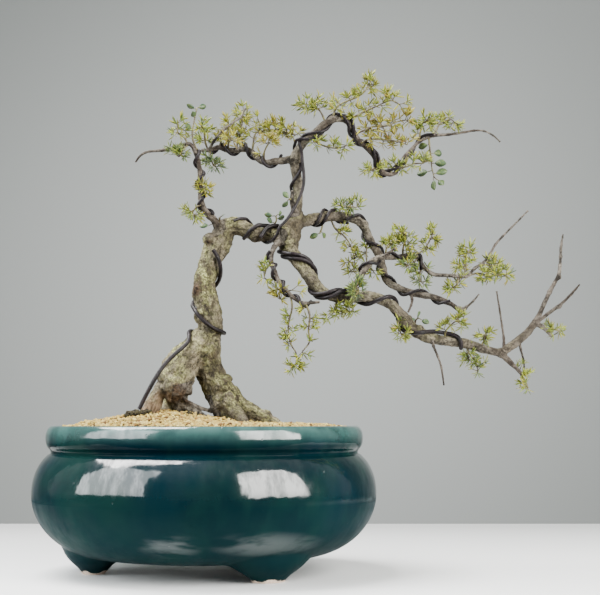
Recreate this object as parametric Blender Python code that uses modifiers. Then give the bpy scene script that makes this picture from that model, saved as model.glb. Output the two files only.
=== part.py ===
"""A trained bonsai of a small-leaved desert tree, planted in a round glazed pot with three feet.

World metres, +Z up, seen from the front along +Y. The tree is laid out on a front view: columns and
rows as an eye in front of the pot sees them, and a depth in millimetres behind the pot's axis.
"""
import math
import random

import bmesh
import bpy
from mathutils import Matrix, Vector, noise
from mathutils.bvhtree import BVHTree

MM = 0.001
GAP = 0.0003

# The front view: one unit is 0.8 mm in the upright plane through the pot's axis
UNIT = 0.0008
AXIS_COLUMN = 206.5
TABLE_ROW = 567.5
EYE_COLUMN = 300.0
EYE_ROW = 420.0
EYE_DISTANCE = 1.08
DEPTH_SPREAD = 2.0
CROWN_ROW = 215
ARMS_COLUMN = 255
SOIL_ROW = 400

# Pot
POT_RIM_RADIUS = 0.1245
POT_RIM_TOP = 0.1140
POT_RIM_BOTTOM = 0.0985
POT_NECK_RADIUS = 0.1225
POT_NECK_HEIGHT = 0.0955
POT_BULGE_RADIUS = 0.1350
POT_BULGE_HEIGHT = 0.0620
POT_WALL = 0.0065
POT_UNDERSIDE = 0.0130
POT_FLOOR = 0.0215
POT_BASE_RADIUS = 0.0780
DRAIN_HOLE_RADIUS = 0.0090
POT_SHOULDER_CENTRE = 0.110
POT_SHOULDER_RISE = 0.0365
LIP_RADIUS = 0.0035
LIP_UNDER_RADII = (0.0036, 0.0040)
LIP_INNER_DROP = 0.003
POT_STEPS = 30
FOOT_STEPS = 14
FOOT_CIRCLE = 0.0860
FOOT_DEGREES = (37.0, -83.0, 157.0)
FOOT_WIDTH = 0.0270
FOOT_DEPTH = 0.0190
FOOT_HEIGHT = 0.0210
FOOT_PROFILE = ((2.5, 1.0), (2.2, 0.62), (1.8, 0.42), (1.35, 0.24), (1.04, 0.08), (0.96, 0.0))

# Soil and drainage mesh
SOIL_EDGE = 0.1130
SOIL_MOUND_CENTRE = (-0.030, -0.004)
SOIL_MOUND_HEIGHT = 0.0105
SOIL_MOUND_SPREAD = 0.052
SOIL_RELIEF = 0.0016
SOIL_RELIEF_SCALE = 60
SOIL_RINGS = (0, 0.030, 0.055, 0.080, 0.100)
SOIL_DROP = 0.0022
SOIL_FILL = 0.0025
SOIL_EDGE_WIDTH = 0.02
ROOT_CLEARANCE = 0.0006
MESH_RADIUS = 0.0140
MESH_THICKNESS = 0.0012
MESH_HOLES = 4
MESH_HOLE_RADIUS = 0.0028
MESH_HOLE_CIRCLE = 0.0065

# Wood
WOOD_VOXEL = 0.0011
WOOD_FACES = 2800
BARK_RELIEF = 0.0006
SWELLING_SCALE = 140
WART_SCALE = 330

# Limbs: column, row, depth and radius, the radius in front-view units
TRUNK = [
    (208, 338, 0, 13), (209.5, 325, 0, 12.6), (208.5, 311, 0, 12.6), (205.5, 298, 0, 12.6),
    (205, 285, 0, 11.4), (207.5, 270, 1, 11.4), (210.5, 258, 2, 11.2), (215, 248, 3, 12.2),
    (221, 238, 3, 12), (226, 229, 2, 11.4), (235, 226, 1, 9.6), (246, 229, 0, 7.8),
    (258, 233, 0, 7.0), (270, 234, -1, 6.6), (281, 235, -2, 8),
]
LEFT_LEG = [
    (207, 335, 0, 12.5), (198, 348, -2, 14.5), (187, 360, -4, 17), (179, 372, -6, 18),
    (176, 384, -6, 15.5), (178, 396, -3, 11.5), (180, 409, -1, 9.5), (180, 428, -1, 9),
]
RIGHT_LEG = [
    (209, 335, 0, 12.5), (207, 350, 1, 13), (208, 365, 3, 14), (214, 378, 4, 14.5),
    (220, 390, 4, 15.5), (226, 400, 3, 17), (232, 412, 2, 18), (236, 428, 0, 15),
]
RIGHT_ROOT = [(226, 396, 2, 14), (240, 408, 0, 12), (256, 416, -3, 10), (270, 423, -5, 8), (286, 431, -8, 6)]
THIN_ROOT = [(185, 399, -12, 2.2), (194, 404, -12, 2.2), (203, 408, -8, 2.2), (213, 411, -3, 2.2)]
TAN_ROOT = [(165, 386, -8, 6), (159, 395, -11, 7), (154, 405, -13, 8.5), (150, 418, -14, 10)]
LOW_ROOT = [(182, 404, -6, 5), (192, 409, -10, 4), (203, 414, -12, 3), (212, 421, -12, 2)]
BACK_ROOT_LEFT = [(180, 390, 8, 10), (172, 403, 20, 8), (163, 415, 32, 6), (152, 430, 44, 4)]
BACK_ROOT_RIGHT = [(222, 392, 12, 11), (232, 406, 24, 9), (245, 417, 38, 6.5), (257, 432, 50, 4)]
FRONT_ROOT = [(226, 398, -8, 10), (236, 411, -16, 7), (245, 421, -24, 4.5), (252, 432, -30, 3)]
JUNCTION = [(297, 213, 0, 6.6), (293, 223, -2, 10), (288, 235, -3, 12), (289, 248, -6, 9.5)]
RISER = [
    (297, 214, 0, 6.6), (297, 200, 0, 5.6), (298, 188, 0, 5.2), (296.5, 173, -1, 4.8),
    (294, 162, -2, 4.6), (293, 155, -3, 4.6),
]
RISER_STUB = [(296, 212, -3, 3), (292, 202, -6, 2.6), (292.5, 189, -8, 1.8)]
LEFT_ARM = [
    (293, 157, -3, 4.2), (285, 159, -1, 3.9), (275, 159.5, 1, 3.7), (265, 161, 3, 3.5), (258, 157, 5, 3.4),
    (251, 150, 7, 3.3), (244, 147, 8, 3.2), (236, 148, 9, 3.1), (226, 148, 10, 3), (218, 145, 11, 2.8),
    (209, 148, 11, 2.5), (200, 148.5, 10, 2.1),
]
LEFT_RISER = [
    (220, 231, 0, 5), (214, 220, -3, 3.9), (206, 212, -5, 3.4), (201, 202, -6, 3.1), (200, 191, -6, 3),
    (199.5, 176, -6, 2.8), (198, 162, -6, 2.7), (195, 151, -6, 2.6), (189, 142, -6, 2.4),
    (179, 143.5, -5, 2.1), (168, 147, -4, 1.9), (157, 148.5, -3, 1.8), (147, 149.5, -2, 1.7),
    (139, 153.5, -1, 1.5), (134, 161, 0, 1.2),
]
CROWN_LIMB = [
    (293, 157, -3, 4.6), (297, 150, -4, 4.6), (302, 143, -5, 4.4), (310, 135, -6, 4.1), (318, 128, -7, 3.9),
    (325, 121, -8, 3.7), (332, 117, -8, 3.5), (340, 116, -7, 3.3), (348, 119, -6, 3.2), (354, 129, -4, 3),
    (359, 138, -2, 2.9), (366, 144.5, 0, 2.8), (373, 152, 2, 2.7), (378, 161, 4, 2.6), (383, 170, 6, 2.5),
    (390, 173, 8, 2.4), (396, 171, 9, 2.3), (401, 162, 10, 2.2), (406, 154, 11, 2.1), (412, 147.5, 12, 2),
    (419, 140.5, 12, 1.9), (427, 136, 12, 1.8), (436, 133, 12, 1.7), (450, 132, 13, 1.6),
]
UPPER_ARM = [
    (293, 228, -2, 7), (300, 222, 0, 6.2), (311, 218.5, 3, 5.8), (323, 216, 5, 5.4), (335, 215, 6, 5),
    (346, 215.5, 7, 4.8), (356, 218.5, 7, 4.6), (363, 224, 7, 4.4), (368, 234, 7, 4.2), (373, 245, 7, 4.1),
    (379, 254, 7, 4), (382, 265, 6, 4), (384, 274, 6, 3.9), (389, 283, 5, 3.8), (397, 287, 4, 3.7),
    (410, 292, 3, 3.6), (421, 295, 2, 3.5), (432, 296.5, 1, 3.3), (442, 300, 0, 3), (451, 304, -1, 2.8),
    (460, 310, -2, 2.4), (467, 307, -3, 1.9),
]
LOWER_ARM = [
    (289, 247, -6, 8.5), (295, 256, -7, 7.6), (303, 267, -8, 7), (311, 278.5, -10, 6.6),
    (318, 287, -11, 6.2), (326, 293.5, -12, 6), (336, 297, -12, 6), (348, 298, -11, 5.8),
    (360, 296.5, -10, 5.6), (371, 296.5, -9, 5.5), (381, 299.5, -8, 5.5), (391, 305, -7, 5.6),
    (399, 313, -6, 5.8), (408, 323, -5, 6.2), (416, 330.5, -4, 6.3), (426, 336, -3, 6.2),
    (438, 339.5, -2, 6), (452, 341.5, -1, 5.6), (465, 344, 0, 5), (479, 348, 1, 4.5), (491, 351.5, 2, 4.3),
    (501, 353.5, 3, 4.3),
]
END_FORK = [
    (500, 353, 3, 4.3), (508, 347.5, 4, 4.3), (517, 340.5, 5, 4.2), (526, 333, 6, 4), (534, 322.5, 7, 3.6),
    (540, 312, 8, 2.7), (545, 301, 8, 2.4), (550, 291, 9, 2.3), (554, 284, 10, 2.1), (559, 274, 10, 2),
    (560.5, 262, 11, 1.9), (561.5, 248, 12, 1.7), (564, 233, 12, 1.2),
]
END_PRONG = [
    (533, 324, 7, 3), (540, 319, 6, 2.3), (549, 312.5, 4, 2.1), (558, 306, 2, 2), (564, 301, 0, 1.8),
    (571, 294, -2, 1.6), (580, 284, -4, 1.2),
]
END_SPUR = [(534, 323, 7, 3), (542, 327, 8, 2.4), (547, 332, 9, 2), (551, 337, 10, 1.6)]
END_DROP = [
    (500, 353, 3, 3.8), (506, 359, 2, 3.2), (513, 366, 1, 2.6), (518, 371, 0, 2.2), (521, 376, 0, 1.6),
]
MIDDLE_BRANCH = [
    (350, 297, -12, 4.2), (353, 288, -14, 3.6), (359, 279, -15, 3.4), (365, 269, -15, 3.3),
    (372, 261, -14, 3.2), (381, 257, -13, 3.1), (392, 257, -12, 3), (404, 256, -11, 2.9),
    (412, 253.5, -10, 2.7), (418, 258, -10, 2.5), (425, 268, -10, 2.4), (433, 274, -10, 2.3),
    (445, 275, -10, 2.2), (457, 276, -9, 2.1), (467, 277, -8, 1.9),
]
HANGING_BRANCH = [
    (279, 240, -6, 4), (273, 249, -11, 2.9), (271, 261, -14, 2.6), (275, 272, -16, 2.5),
    (280, 283, -18, 2.4), (287, 291, -19, 2.3), (294, 298, -20, 2.2), (303, 303, -20, 2.1),
    (312, 302.5, -20, 1.9), (320, 302, -20, 1.6),
]
LIMBS = (
    TRUNK, LEFT_LEG, RIGHT_LEG, RIGHT_ROOT, THIN_ROOT, TAN_ROOT, LOW_ROOT, BACK_ROOT_LEFT, BACK_ROOT_RIGHT,
    FRONT_ROOT, JUNCTION, RISER, RISER_STUB, LEFT_ARM, LEFT_RISER, CROWN_LIMB, UPPER_ARM, LOWER_ARM, END_FORK, END_PRONG,
    END_SPUR, END_DROP, MIDDLE_BRANCH, HANGING_BRANCH,
)

# Knots, old cuts and swollen joints on the wood
KNOTS = (
    (209, 239, -5, 6.5), (256, 233, -2, 8.4), (287, 233, -7, 8), (200, 289, -5, 7), (169, 377, -11, 11),
    (184, 377, -12, 11.5), (176, 387, -16, 12.5), (175, 393, -13, 9.5), (165, 388, -11, 9), (187, 388, -10, 6.5),
    (190.5, 392, -9, 3), (221, 386, -3, 11), (229, 378, -2, 4.5), (210, 350, -4, 10), (203, 317, -4, 9),
    (211, 300, -3, 8.5), (296, 156, -3, 5.4), (417, 331, -4, 7.4), (406, 321, -6, 6.8), (500, 353, 3, 5.4),
    (535, 322, 7, 4.4), (549.5, 292, 9, 3.1), (559, 277, 10, 2.8), (561, 256, 11, 2.5), (559, 306.5, 2, 2.7),
    (383, 270, 6, 4.8), (364, 224, 7, 5.2), (459, 309, -2, 3.2), (383, 171, 6, 3.2), (332, 117, -8, 4.2),
    (209, 262, -3, 8), (220, 403, -5, 10), (240, 408, -3, 9.5), (197, 346, -4, 12), (267, 414, -4, 5.5),
)

# Bare twigs, finer than the limbs
TWIGS = (
    [(434, 133.5, 12, 1.4), (450, 132, 13, 1.4), (458, 131, 14, 1.3), (467, 129.5, 15, 1.2),
     (476, 128, 16, 1.1), (486, 128.5, 16, 1), (495, 133, 17, 0.9), (502, 139.5, 18, 0.8)],
    [(458, 276, -9, 1.5), (467, 276, -8, 1.6), (475, 268, -6, 1.5), (484, 262, -4, 1.4), (490, 254, -2, 1.3),
     (496, 244, 0, 1.2), (503, 236, 2, 1.1), (512, 227, 4, 1), (521, 218, 6, 0.9), (529, 210, 8, 0.8)],
    [(410, 292, 3, 1.8), (412, 299, 1, 1.4), (411, 305, 0, 1.2), (408, 312, -1, 0.9)],
    [(431, 337, -3, 1.8), (433, 346, -6, 1.4), (437, 356, -8, 1.2), (440.5, 367, -9, 1.1),
     (443, 385, -10, 0.8)],
    [(503, 350, 4, 2), (503, 338, 6, 1.2), (501.5, 326, 7, 1), (499.5, 311, 8, 0.9), (496.5, 291, 8, 0.8)],
    [(518, 339, 5, 1.8), (520, 350, 6, 1.1), (522.5, 360, 6, 0.9), (523, 368, 7, 0.8)],
    [(459, 309, -2, 1.5), (466, 307, -3, 1.4), (473, 301, -5, 1.1), (479, 294, -6, 0.8)],
    [(382, 257, -13, 2), (389, 252.5, -15, 1.5), (395, 248, -17, 1)],
    [(208, 148, 11, 2), (213, 139, 7, 1.3), (222, 128, 4, 1.2), (232, 120, 3, 1.1), (240, 114, 3, 1),
     (245, 105, 3, 0.8)],
)

# Wires: radius, the limb that carries it, first and last share of the limb, turns and starting angle
WIRE_RADIUS = 0.00125
WIRE_THICK_RADIUS = 0.00145
WIRE_STEPS = 6
WIRE_SPACING = 0.0048
# Laid by hand: the trunk wire, and the loose lead of the crown wire across the riser
TRUNK_WIRE = (
    (139, 412, -26), (144, 401, -26), (149, 391, -27), (155, 380, -27), (163, 367, -24), (172, 357, -21),
    (182, 348, -18), (192, 340, -11), (195, 334, 2), (203, 330, 13), (214, 330, 13), (223, 333, 3),
    (222, 332, -6), (213, 328, -12), (204, 321, -13), (196, 312, -9), (193, 304, 1), (200, 296, 12),
    (212, 289, 12), (219, 281, 3), (221, 272, -5), (220, 262, -9), (216, 253, -11), (209, 245, -11),
)
CROWN_WIRE_LEAD = (
    (274, 240, -8), (282, 226, -8.5), (291, 213, -8), (298, 200, -5.5), (303, 188, -5), (304.5, 176, -5),
    (303, 166, -5.5), (302, 156, -6),
)

# Leafy stems: where the stem leaves the wood, the stem's way, and the places of its leaf tufts.
# Each place is a column and a row. A stem starts at its wood's depth and ends at its first number.
SPRAYS = {
    "far_left_upper": (-6, (187, 143), ((182, 136), (178, 129), (175, 123)), ((175, 121), (170, 134),
        (181, 127))),
    "far_left_lower": (-6, (186, 143), ((183, 148), (179, 153), (174, 154)), ((180, 151), (185, 156),
        (173, 150), (166, 143))),
    "left_tall_shoot": (-2, (196, 148), ((193, 136), (191.5, 122), (195, 106)), ((189, 104), (201, 104),
        (192, 113), (187, 124))),
    "left_pad_grey": (6, (207, 148), ((205, 139), (203, 130), (201, 124)), ((197, 128), (203, 121),
        (210, 128), (208, 137), (198, 139))),
    "left_pad_middle": (10, (218, 146), ((222, 137), (226, 128), (229, 120)), ((220, 131), (228, 127),
        (226, 118), (233, 122), (215, 137))),
    "left_pad_tall": (12, (236, 148), ((238, 138), (241, 124), (243, 110)), ((235, 132), (240, 125),
        (247, 119), (242, 111), (248, 104), (250, 129), (244, 139), (234, 113))),
    "left_pad_near": (0, (228, 148), ((229, 142), (233, 136)), ((228, 137), (236, 140), (234, 131))),
    "left_pad_right": (10, (252, 151), ((252, 141), (257, 131), (268, 127), (280, 127), (293, 131)),
        ((255, 118), (256, 110), (263, 124), (268, 117), (275, 122), (282, 118), (288, 124), (295, 121),
        (300, 130), (272, 133), (285, 134))),
    "left_pad_front": (-2, (264, 160), ((265, 149), (270, 140)), ((262, 139), (270, 133), (277, 139))),
    "left_hanging": (8, (209, 149), ((211, 156), (213, 164)), ((206, 158), (216, 158), (210, 168),
        (218, 168))),
    "left_riser_low": (-8, (202, 204), ((197, 207), (191, 212)), ((186, 208), (190, 217), (196, 221),
        (187, 214))),
    "crown_far_left": (-6, (326, 121), ((322, 113), (317, 105), (308, 104)), ((302, 98), (308, 107),
        (314, 98), (320, 95), (326, 103), (299, 104))),
    "crown_top": (-8, (333, 117), ((334, 108), (341, 101), (351, 97), (360, 93), (366, 87), (370, 80)),
        ((343, 109), (337, 96), (347, 91), (353, 103), (360, 87), (366, 79), (372, 73), (378, 81),
        (374, 90))),
    "crown_top_right": (-2, (347, 118), ((356, 112), (367, 107), (379, 101), (391, 98), (402, 100)),
        ((360, 115), (371, 112), (382, 93), (390, 84), (397, 91), (411, 101), (385, 107), (368, 99))),
    "crown_middle": (-4, (356, 132), ((364, 128), (375, 124), (387, 122), (398, 120), (407, 116)),
        ((365, 122), (374, 131), (383, 116), (386, 131), (397, 126), (408, 110), (412, 121), (394, 112))),
    "crown_inner": (2, (361, 141), ((371, 138), (384, 138), (397, 140), (408, 141)), ((371, 133), (383, 144),
        (393, 147), (399, 134), (411, 137))),
    "crown_under": (-8, (311, 134), ((316, 140), (324, 144), (335, 145), (345, 144)), ((318, 136), (311, 142),
        (335, 140), (345, 149), (352, 143))),
    "crown_low": (8, (391, 172), ((395, 166), (405, 166), (414, 163), (424, 160)), ((385, 164), (394, 157),
        (403, 172), (415, 157), (424, 156), (432, 158))),
    "crown_round_leaves": (10, (430, 135), ((431, 145), (432, 156), (433, 167), (436, 177)), ((425, 144),
        (438, 151), (427, 159), (440, 161), (425, 171), (441, 171), (442, 181), (434, 182))),
    "crown_right": (14, (436, 133), ((439, 125), (444, 120), (452, 118)), ((435, 118), (444, 114), (452, 113),
        (458, 122), (461, 126))),
    "crown_shoulder": (8, (420, 140), ((421, 130), (425, 121), (429, 118)), ((420, 124), (425, 113),
        (431, 117), (434, 127), (415, 131))),
    "middle_shoots_left": (-14, (385, 257), ((388, 249), (389, 243)), ((383, 240), (391, 237), (396, 247))),
    "middle_shoots": (-14, (403, 256), ((404, 248), (405, 239), (405, 233)), ((405, 229), (401, 241),
        (410, 246), (416, 244), (412, 235))),
    "middle_shoots_right": (-8, (412, 254), ((421, 252), (428, 245), (432, 237)), ((428, 237), (434, 231),
        (438, 241), (425, 249), (434, 251))),
    "middle_low": (-12, (418, 258), ((412, 262), (407, 267)), ((402, 262), (408, 271), (413, 266))),
    "middle_heart": (-14, (424, 267), ((421, 273), (420, 281)), ((415, 273), (417, 284), (427, 287),
        (430, 266))),
    "far_tufts_top": (-4, (463, 277), ((465, 266), (467, 256), (470, 249)), ((461, 248), (470, 246),
        (463, 256), (475, 254), (453, 262), (459, 268))),
    "far_tufts_right": (-2, (482, 264), ((488, 265), (495, 266)), ((488, 258), (490, 271), (496, 261),
        (500, 269))),
    "far_tufts_tip": (-6, (466, 277), ((479, 274), (492, 275), (503, 275)), ((480, 280), (488, 281),
        (500, 271), (508, 276), (511, 281))),
    "far_tufts_under": (-9, (458, 276), ((458, 283), (451, 289)), ((464, 284), (455, 289), (447, 293))),
    "lower_arm_top": (-4, (444, 340), ((447, 329), (453, 323), (460, 321)), ((438, 328), (445, 322),
        (452, 318), (460, 316), (466, 325))),
    "lower_arm_far": (0, (479, 348), ((482, 341), (485, 335)), ((479, 336), (485, 331), (489, 340))),
    "lower_arm_hanging": (0, (466, 346), ((468, 354), (473, 361), (477, 368)), ((462, 355), (460, 363),
        (475, 359), (480, 365), (477, 376))),
    "lower_arm_left": (-8, (399, 314), ((399, 324), (400, 332)), ((395, 336), (401, 340), (406, 336))),
    "end_drop_leaves": (0, (519, 373), ((523, 379), (525, 387)), ((515, 364), (527, 373), (526, 391))),
    "between_arms": (4, (330, 216), ((335, 227), (343, 234), (350, 243), (353, 257), (354, 271)), ((344, 249),
        (342, 262), (346, 271), (361, 256), (358, 276), (336, 236))),
    "between_arms_right": (4, (369, 236), ((366, 247), (368, 262), (374, 272)), ((363, 254), (371, 271),
        (378, 277))),
    "upper_arm_top": (4, (338, 214), ((341, 206), (348, 204), (355, 206)), ((334, 202), (341, 199),
        (351, 208), (362, 206))),
    "lower_arm_fringe": (-12, (337, 299), ((337, 308), (344, 312), (352, 311)), ((332, 313), (335, 318),
        (346, 314), (352, 306), (356, 313), (325, 321))),
    "hanging_long": (-20, (290, 295), ((291, 309), (289, 325), (291, 341), (295, 352), (297, 361)),
        ((286, 315), (283, 331), (297, 328), (285, 346), (292, 367), (288, 373))),
    "hanging_right": (-21, (305, 303), ((309, 316), (310, 329), (309, 342), (303, 351)), ((301, 309),
        (305, 326), (313, 319), (303, 356))),
    "hanging_top": (-15, (272, 263), ((267, 267), (265, 275)), ((263, 268), (268, 283))),
    "junction_leaves": (-3, (270, 230), ((273, 224), (275, 219), (276, 215)), ((269, 220), (268, 215),
        (281, 217), (281, 212))),
}
ROUND_LEAF_SPRAYS = ("left_tall_shoot", "crown_round_leaves", "junction_leaves")
STEM_RADIUS = 0.0006
TUFT_DEPTH = 4
ROOT_REACH = 0.004
ROUND_SPRAY_FACE_SHARES = (0.7, 0.66, 0.62, 0.58, 0.54, 0.5, 0.46)
SPRAY_FACE_SHARES = (0.42, 0.4, 0.38, 0.36, 0.44, 0.46, 0.34, 0.48, 0.5)
SHORTEST_EDGE = 0.00002
FIRST_DRAWS = {"left_pad_grey": 1, "left_pad_near": 1, "crown_under": 2}
MOST_DRAWS = 40
BLADES_PER_TUFT = 2
STEM_WANDER = 1.6
BLADE_LENGTH = 0.0078
BLADE_WIDTH = 0.0020
BLADE_THICKNESS = 0.0009
BLADE_WIDEST = 0.48
BLADE_ROOT = 0.0010
BLADE_ROOT_SIZE = 0.5
BLADE_SINK = 0.0004
BLADE_TRIES = 20
ROUND_LEAF_LENGTH = 0.0066
ROUND_LEAF_WIDTH = 0.0042

eye = Vector(((EYE_COLUMN - AXIS_COLUMN) * UNIT, -EYE_DISTANCE, (TABLE_ROW - EYE_ROW) * UNIT))


def spread(column, row):
    """How much further apart in depth the crown and the arms lie than the front view's numbers say."""
    in_crown = row < CROWN_ROW or (column > ARMS_COLUMN and row < SOIL_ROW)
    return DEPTH_SPREAD if in_crown else 1


def at(column, row, depth=0.0):
    """The point that the eye sees at a column and a row, depth millimetres behind the pot's axis."""
    depth = depth * spread(column, row)
    flat = Vector(((column - AXIS_COLUMN) * UNIT, 0.0, (TABLE_ROW - row) * UNIT))
    return eye + (flat - eye) * (1 + depth * MM / EYE_DISTANCE)


def placed(route):
    """A limb's route as points and real radii."""
    return [
        (at(column, row, depth), size * UNIT * (1 + depth * spread(column, row) * MM / EYE_DISTANCE))
        for column, row, depth, size in route
    ]


def smooth(points, steps):
    """Points and radii along a Catmull-Rom curve through the given ones."""
    ends = [points[0]] + list(points) + [points[-1]]
    result = []
    for a, b, c, d in zip(ends, ends[1:], ends[2:], ends[3:]):
        for step in range(steps):
            t = step / steps
            place = 0.5 * (2 * b[0] + (c[0] - a[0]) * t + (2 * a[0] - 5 * b[0] + 4 * c[0] - d[0]) * t**2
                           + (3 * b[0] - a[0] - 3 * c[0] + d[0]) * t**3)
            result.append((place, b[1] + (c[1] - b[1]) * t))
    result.append(points[-1])
    return result


def material(name, colour, roughness, metallic=0.0):
    made = bpy.data.materials.new(name)
    made.use_nodes = True
    shader = made.node_tree.nodes["Principled BSDF"]
    shader.inputs["Base Color"].default_value = (*colour, 1)
    shader.inputs["Roughness"].default_value = roughness
    shader.inputs["Metallic"].default_value = metallic
    return made


def add(name, mesh, collection, slot=None):
    """A new object of a mesh in a collection."""
    made = bpy.data.objects.new(name, mesh)
    collection.objects.link(made)
    if slot:
        mesh.materials.clear()
        mesh.materials.append(slot)
    return made


def remove(thing):
    mesh = thing.data
    bpy.data.objects.remove(thing)
    if mesh.users == 0 and isinstance(mesh, bpy.types.Mesh):
        bpy.data.meshes.remove(mesh)
    elif mesh.users == 0:
        bpy.data.curves.remove(mesh)


def evaluated_mesh(thing):
    """The object's mesh with its modifiers applied."""
    bpy.context.view_layer.update()
    return bpy.data.meshes.new_from_object(thing.evaluated_get(bpy.context.evaluated_depsgraph_get()))


def tube_mesh(name, points, resolution):
    """A closed round tube along points that carry their own radii."""
    curve = bpy.data.curves.new(name, "CURVE")
    curve.dimensions = "3D"
    curve.bevel_depth = 1.0
    curve.bevel_resolution = resolution
    curve.use_fill_caps = True
    spline = curve.splines.new("POLY")
    spline.points.add(len(points) - 1)
    for knot, (place, radius) in zip(spline.points, points):
        knot.co = (*place, 1)
        knot.radius = radius
    guide = add(name, curve, workshop)
    mesh = evaluated_mesh(guide)
    remove(guide)
    shaped = bmesh.new()
    shaped.from_mesh(mesh)
    bmesh.ops.remove_doubles(shaped, verts=shaped.verts, dist=0.00001)
    bmesh.ops.recalc_face_normals(shaped, faces=shaped.faces)
    shaped.to_mesh(mesh)
    shaped.free()
    return mesh


def tree_of(mesh):
    """A search tree over a mesh's faces, for finding the nearest place on it."""
    shaped = bmesh.new()
    shaped.from_mesh(mesh)
    found = BVHTree.FromBMesh(shaped)
    shaped.free()
    return found


def keep_largest_body(mesh):
    """Removes what a union left loose beside the main body."""
    shaped = bmesh.new()
    shaped.from_mesh(mesh)
    bodies = []
    left = set(shaped.verts)
    while left:
        body = {left.pop()}
        edge = list(body)
        while edge:
            vert = edge.pop()
            for link in vert.link_edges:
                other = link.other_vert(vert)
                if other in left:
                    left.remove(other)
                    body.add(other)
                    edge.append(other)
        bodies.append(body)
    largest = max(bodies, key=len)
    loose = [vert for body in bodies if body is not largest for vert in body]
    bmesh.ops.delete(shaped, geom=loose, context="VERTS")
    shaped.to_mesh(mesh)
    shaped.free()


def is_sound(mesh):
    """Whether a mesh is one closed surface that touches itself nowhere."""
    shaped = bmesh.new()
    shaped.from_mesh(mesh)
    closed = all(edge.is_manifold for edge in shaped.edges)
    apart = not bmesh.ops.find_doubles(shaped, verts=shaped.verts, dist=SHORTEST_EDGE)["targetmap"]
    shaped.free()
    return closed and apart


def union(name, first, others, slot):
    """One solid of a mesh and many others, in one Boolean union on a collection."""
    group = bpy.data.collections.new(name)
    workshop.children.link(group)
    for index, mesh in enumerate(others):
        add(f"{name}_{index}", mesh, group)
    base = add(name, first, workshop)
    join = base.modifiers.new("join", "BOOLEAN")
    join.operation = "UNION"
    join.operand_type = "COLLECTION"
    join.collection = group
    join.solver = "EXACT"
    mesh = evaluated_mesh(base)
    remove(base)
    for thing in list(group.objects):
        remove(thing)
    bpy.data.collections.remove(group)
    keep_largest_body(mesh)
    return add(name, mesh, bonsai, slot)


def turned(name, profile, steps, collection, slot=None):
    """A ring or shell turned about the vertical axis from a profile that runs down its outer side."""
    shaped = bmesh.new()
    verts = [shaped.verts.new((radius, 0, height)) for radius, height in profile]
    on_axis = profile[0][0] == 0
    for first, second in zip(verts, verts[1:] if on_axis else verts[1:] + verts[:1]):
        shaped.edges.new((first, second))
    mesh = bpy.data.meshes.new(name)
    shaped.to_mesh(mesh)
    shaped.free()
    thing = add(name, mesh, collection, slot)
    screw = thing.modifiers.new("turn", "SCREW")
    screw.steps = steps
    screw.render_steps = steps
    screw.use_merge_vertices = True
    screw.merge_threshold = 0.00001
    return thing


def arc(centre, radii, start, end, count):
    """Points on an ellipse arc, angles in degrees from the outward direction, counted upwards."""
    angles = [math.radians(start + (end - start) * i / (count - 1)) for i in range(count)]
    return [(centre[0] + radii[0] * math.cos(a), centre[1] + radii[1] * math.sin(a)) for a in angles]


def inner_wall(gap):
    """The pot's inner wall from the floor up to the neck, or a profile that clears it by a gap."""
    offset = POT_WALL + gap
    belly_radii = (POT_BULGE_RADIUS - POT_BASE_RADIUS - offset, POT_BULGE_HEIGHT - POT_FLOOR - gap)
    shoulder_radii = (POT_BULGE_RADIUS - POT_SHOULDER_CENTRE - offset, POT_SHOULDER_RISE - gap)
    wall = arc((POT_BASE_RADIUS, POT_BULGE_HEIGHT), belly_radii, -66, 0, 4)
    wall += arc((POT_SHOULDER_CENTRE, POT_BULGE_HEIGHT), shoulder_radii, 30, 50, 2)
    return wall + [(POT_NECK_RADIUS - offset, POT_NECK_HEIGHT)]


def pot():
    """The turned pot: lip, neck, bulge and floor with its drain hole, and three flared feet."""
    lip = arc((POT_RIM_RADIUS - LIP_RADIUS, POT_RIM_TOP - LIP_RADIUS), (LIP_RADIUS, LIP_RADIUS), 100, 0, 4)
    under = (POT_RIM_RADIUS - LIP_UNDER_RADII[1], POT_RIM_BOTTOM + LIP_UNDER_RADII[1])
    lip += arc(under, LIP_UNDER_RADII, 0, -62, 3)
    shoulder = [(POT_NECK_RADIUS, POT_NECK_HEIGHT)]
    body = arc((POT_SHOULDER_CENTRE, POT_BULGE_HEIGHT),
               (POT_BULGE_RADIUS - POT_SHOULDER_CENTRE, POT_SHOULDER_RISE), 60, 0, 5)
    belly = arc((POT_BASE_RADIUS, POT_BULGE_HEIGHT),
                (POT_BULGE_RADIUS - POT_BASE_RADIUS, POT_BULGE_HEIGHT - POT_UNDERSIDE), -11, -90, 7)
    floor = [(DRAIN_HOLE_RADIUS, POT_UNDERSIDE), (DRAIN_HOLE_RADIUS, POT_FLOOR), (POT_BASE_RADIUS, POT_FLOOR)]
    inside = inner_wall(0) + [(POT_NECK_RADIUS - POT_WALL, POT_RIM_TOP - LIP_INNER_DROP)]
    shell = turned("pot", lip + shoulder + body + belly + floor + inside, POT_STEPS, bonsai, glaze)
    for index, degrees in enumerate(FOOT_DEGREES):
        flank = [(reach / 2, share * FOOT_HEIGHT) for reach, share in FOOT_PROFILE]
        outline = [(0, FOOT_HEIGHT)] + flank + [(0, 0)]
        foot = turned(f"foot_{index}", outline, FOOT_STEPS, workshop)
        turn = math.radians(degrees)
        foot.location = (FOOT_CIRCLE * math.sin(turn), -FOOT_CIRCLE * math.cos(turn), 0)
        foot.rotation_euler.z = turn
        foot.scale = (FOOT_WIDTH, FOOT_DEPTH, 1)
        join = shell.modifiers.new(f"foot_{index}", "BOOLEAN")
        join.operation = "UNION"
        join.object = foot
    return shell


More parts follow.
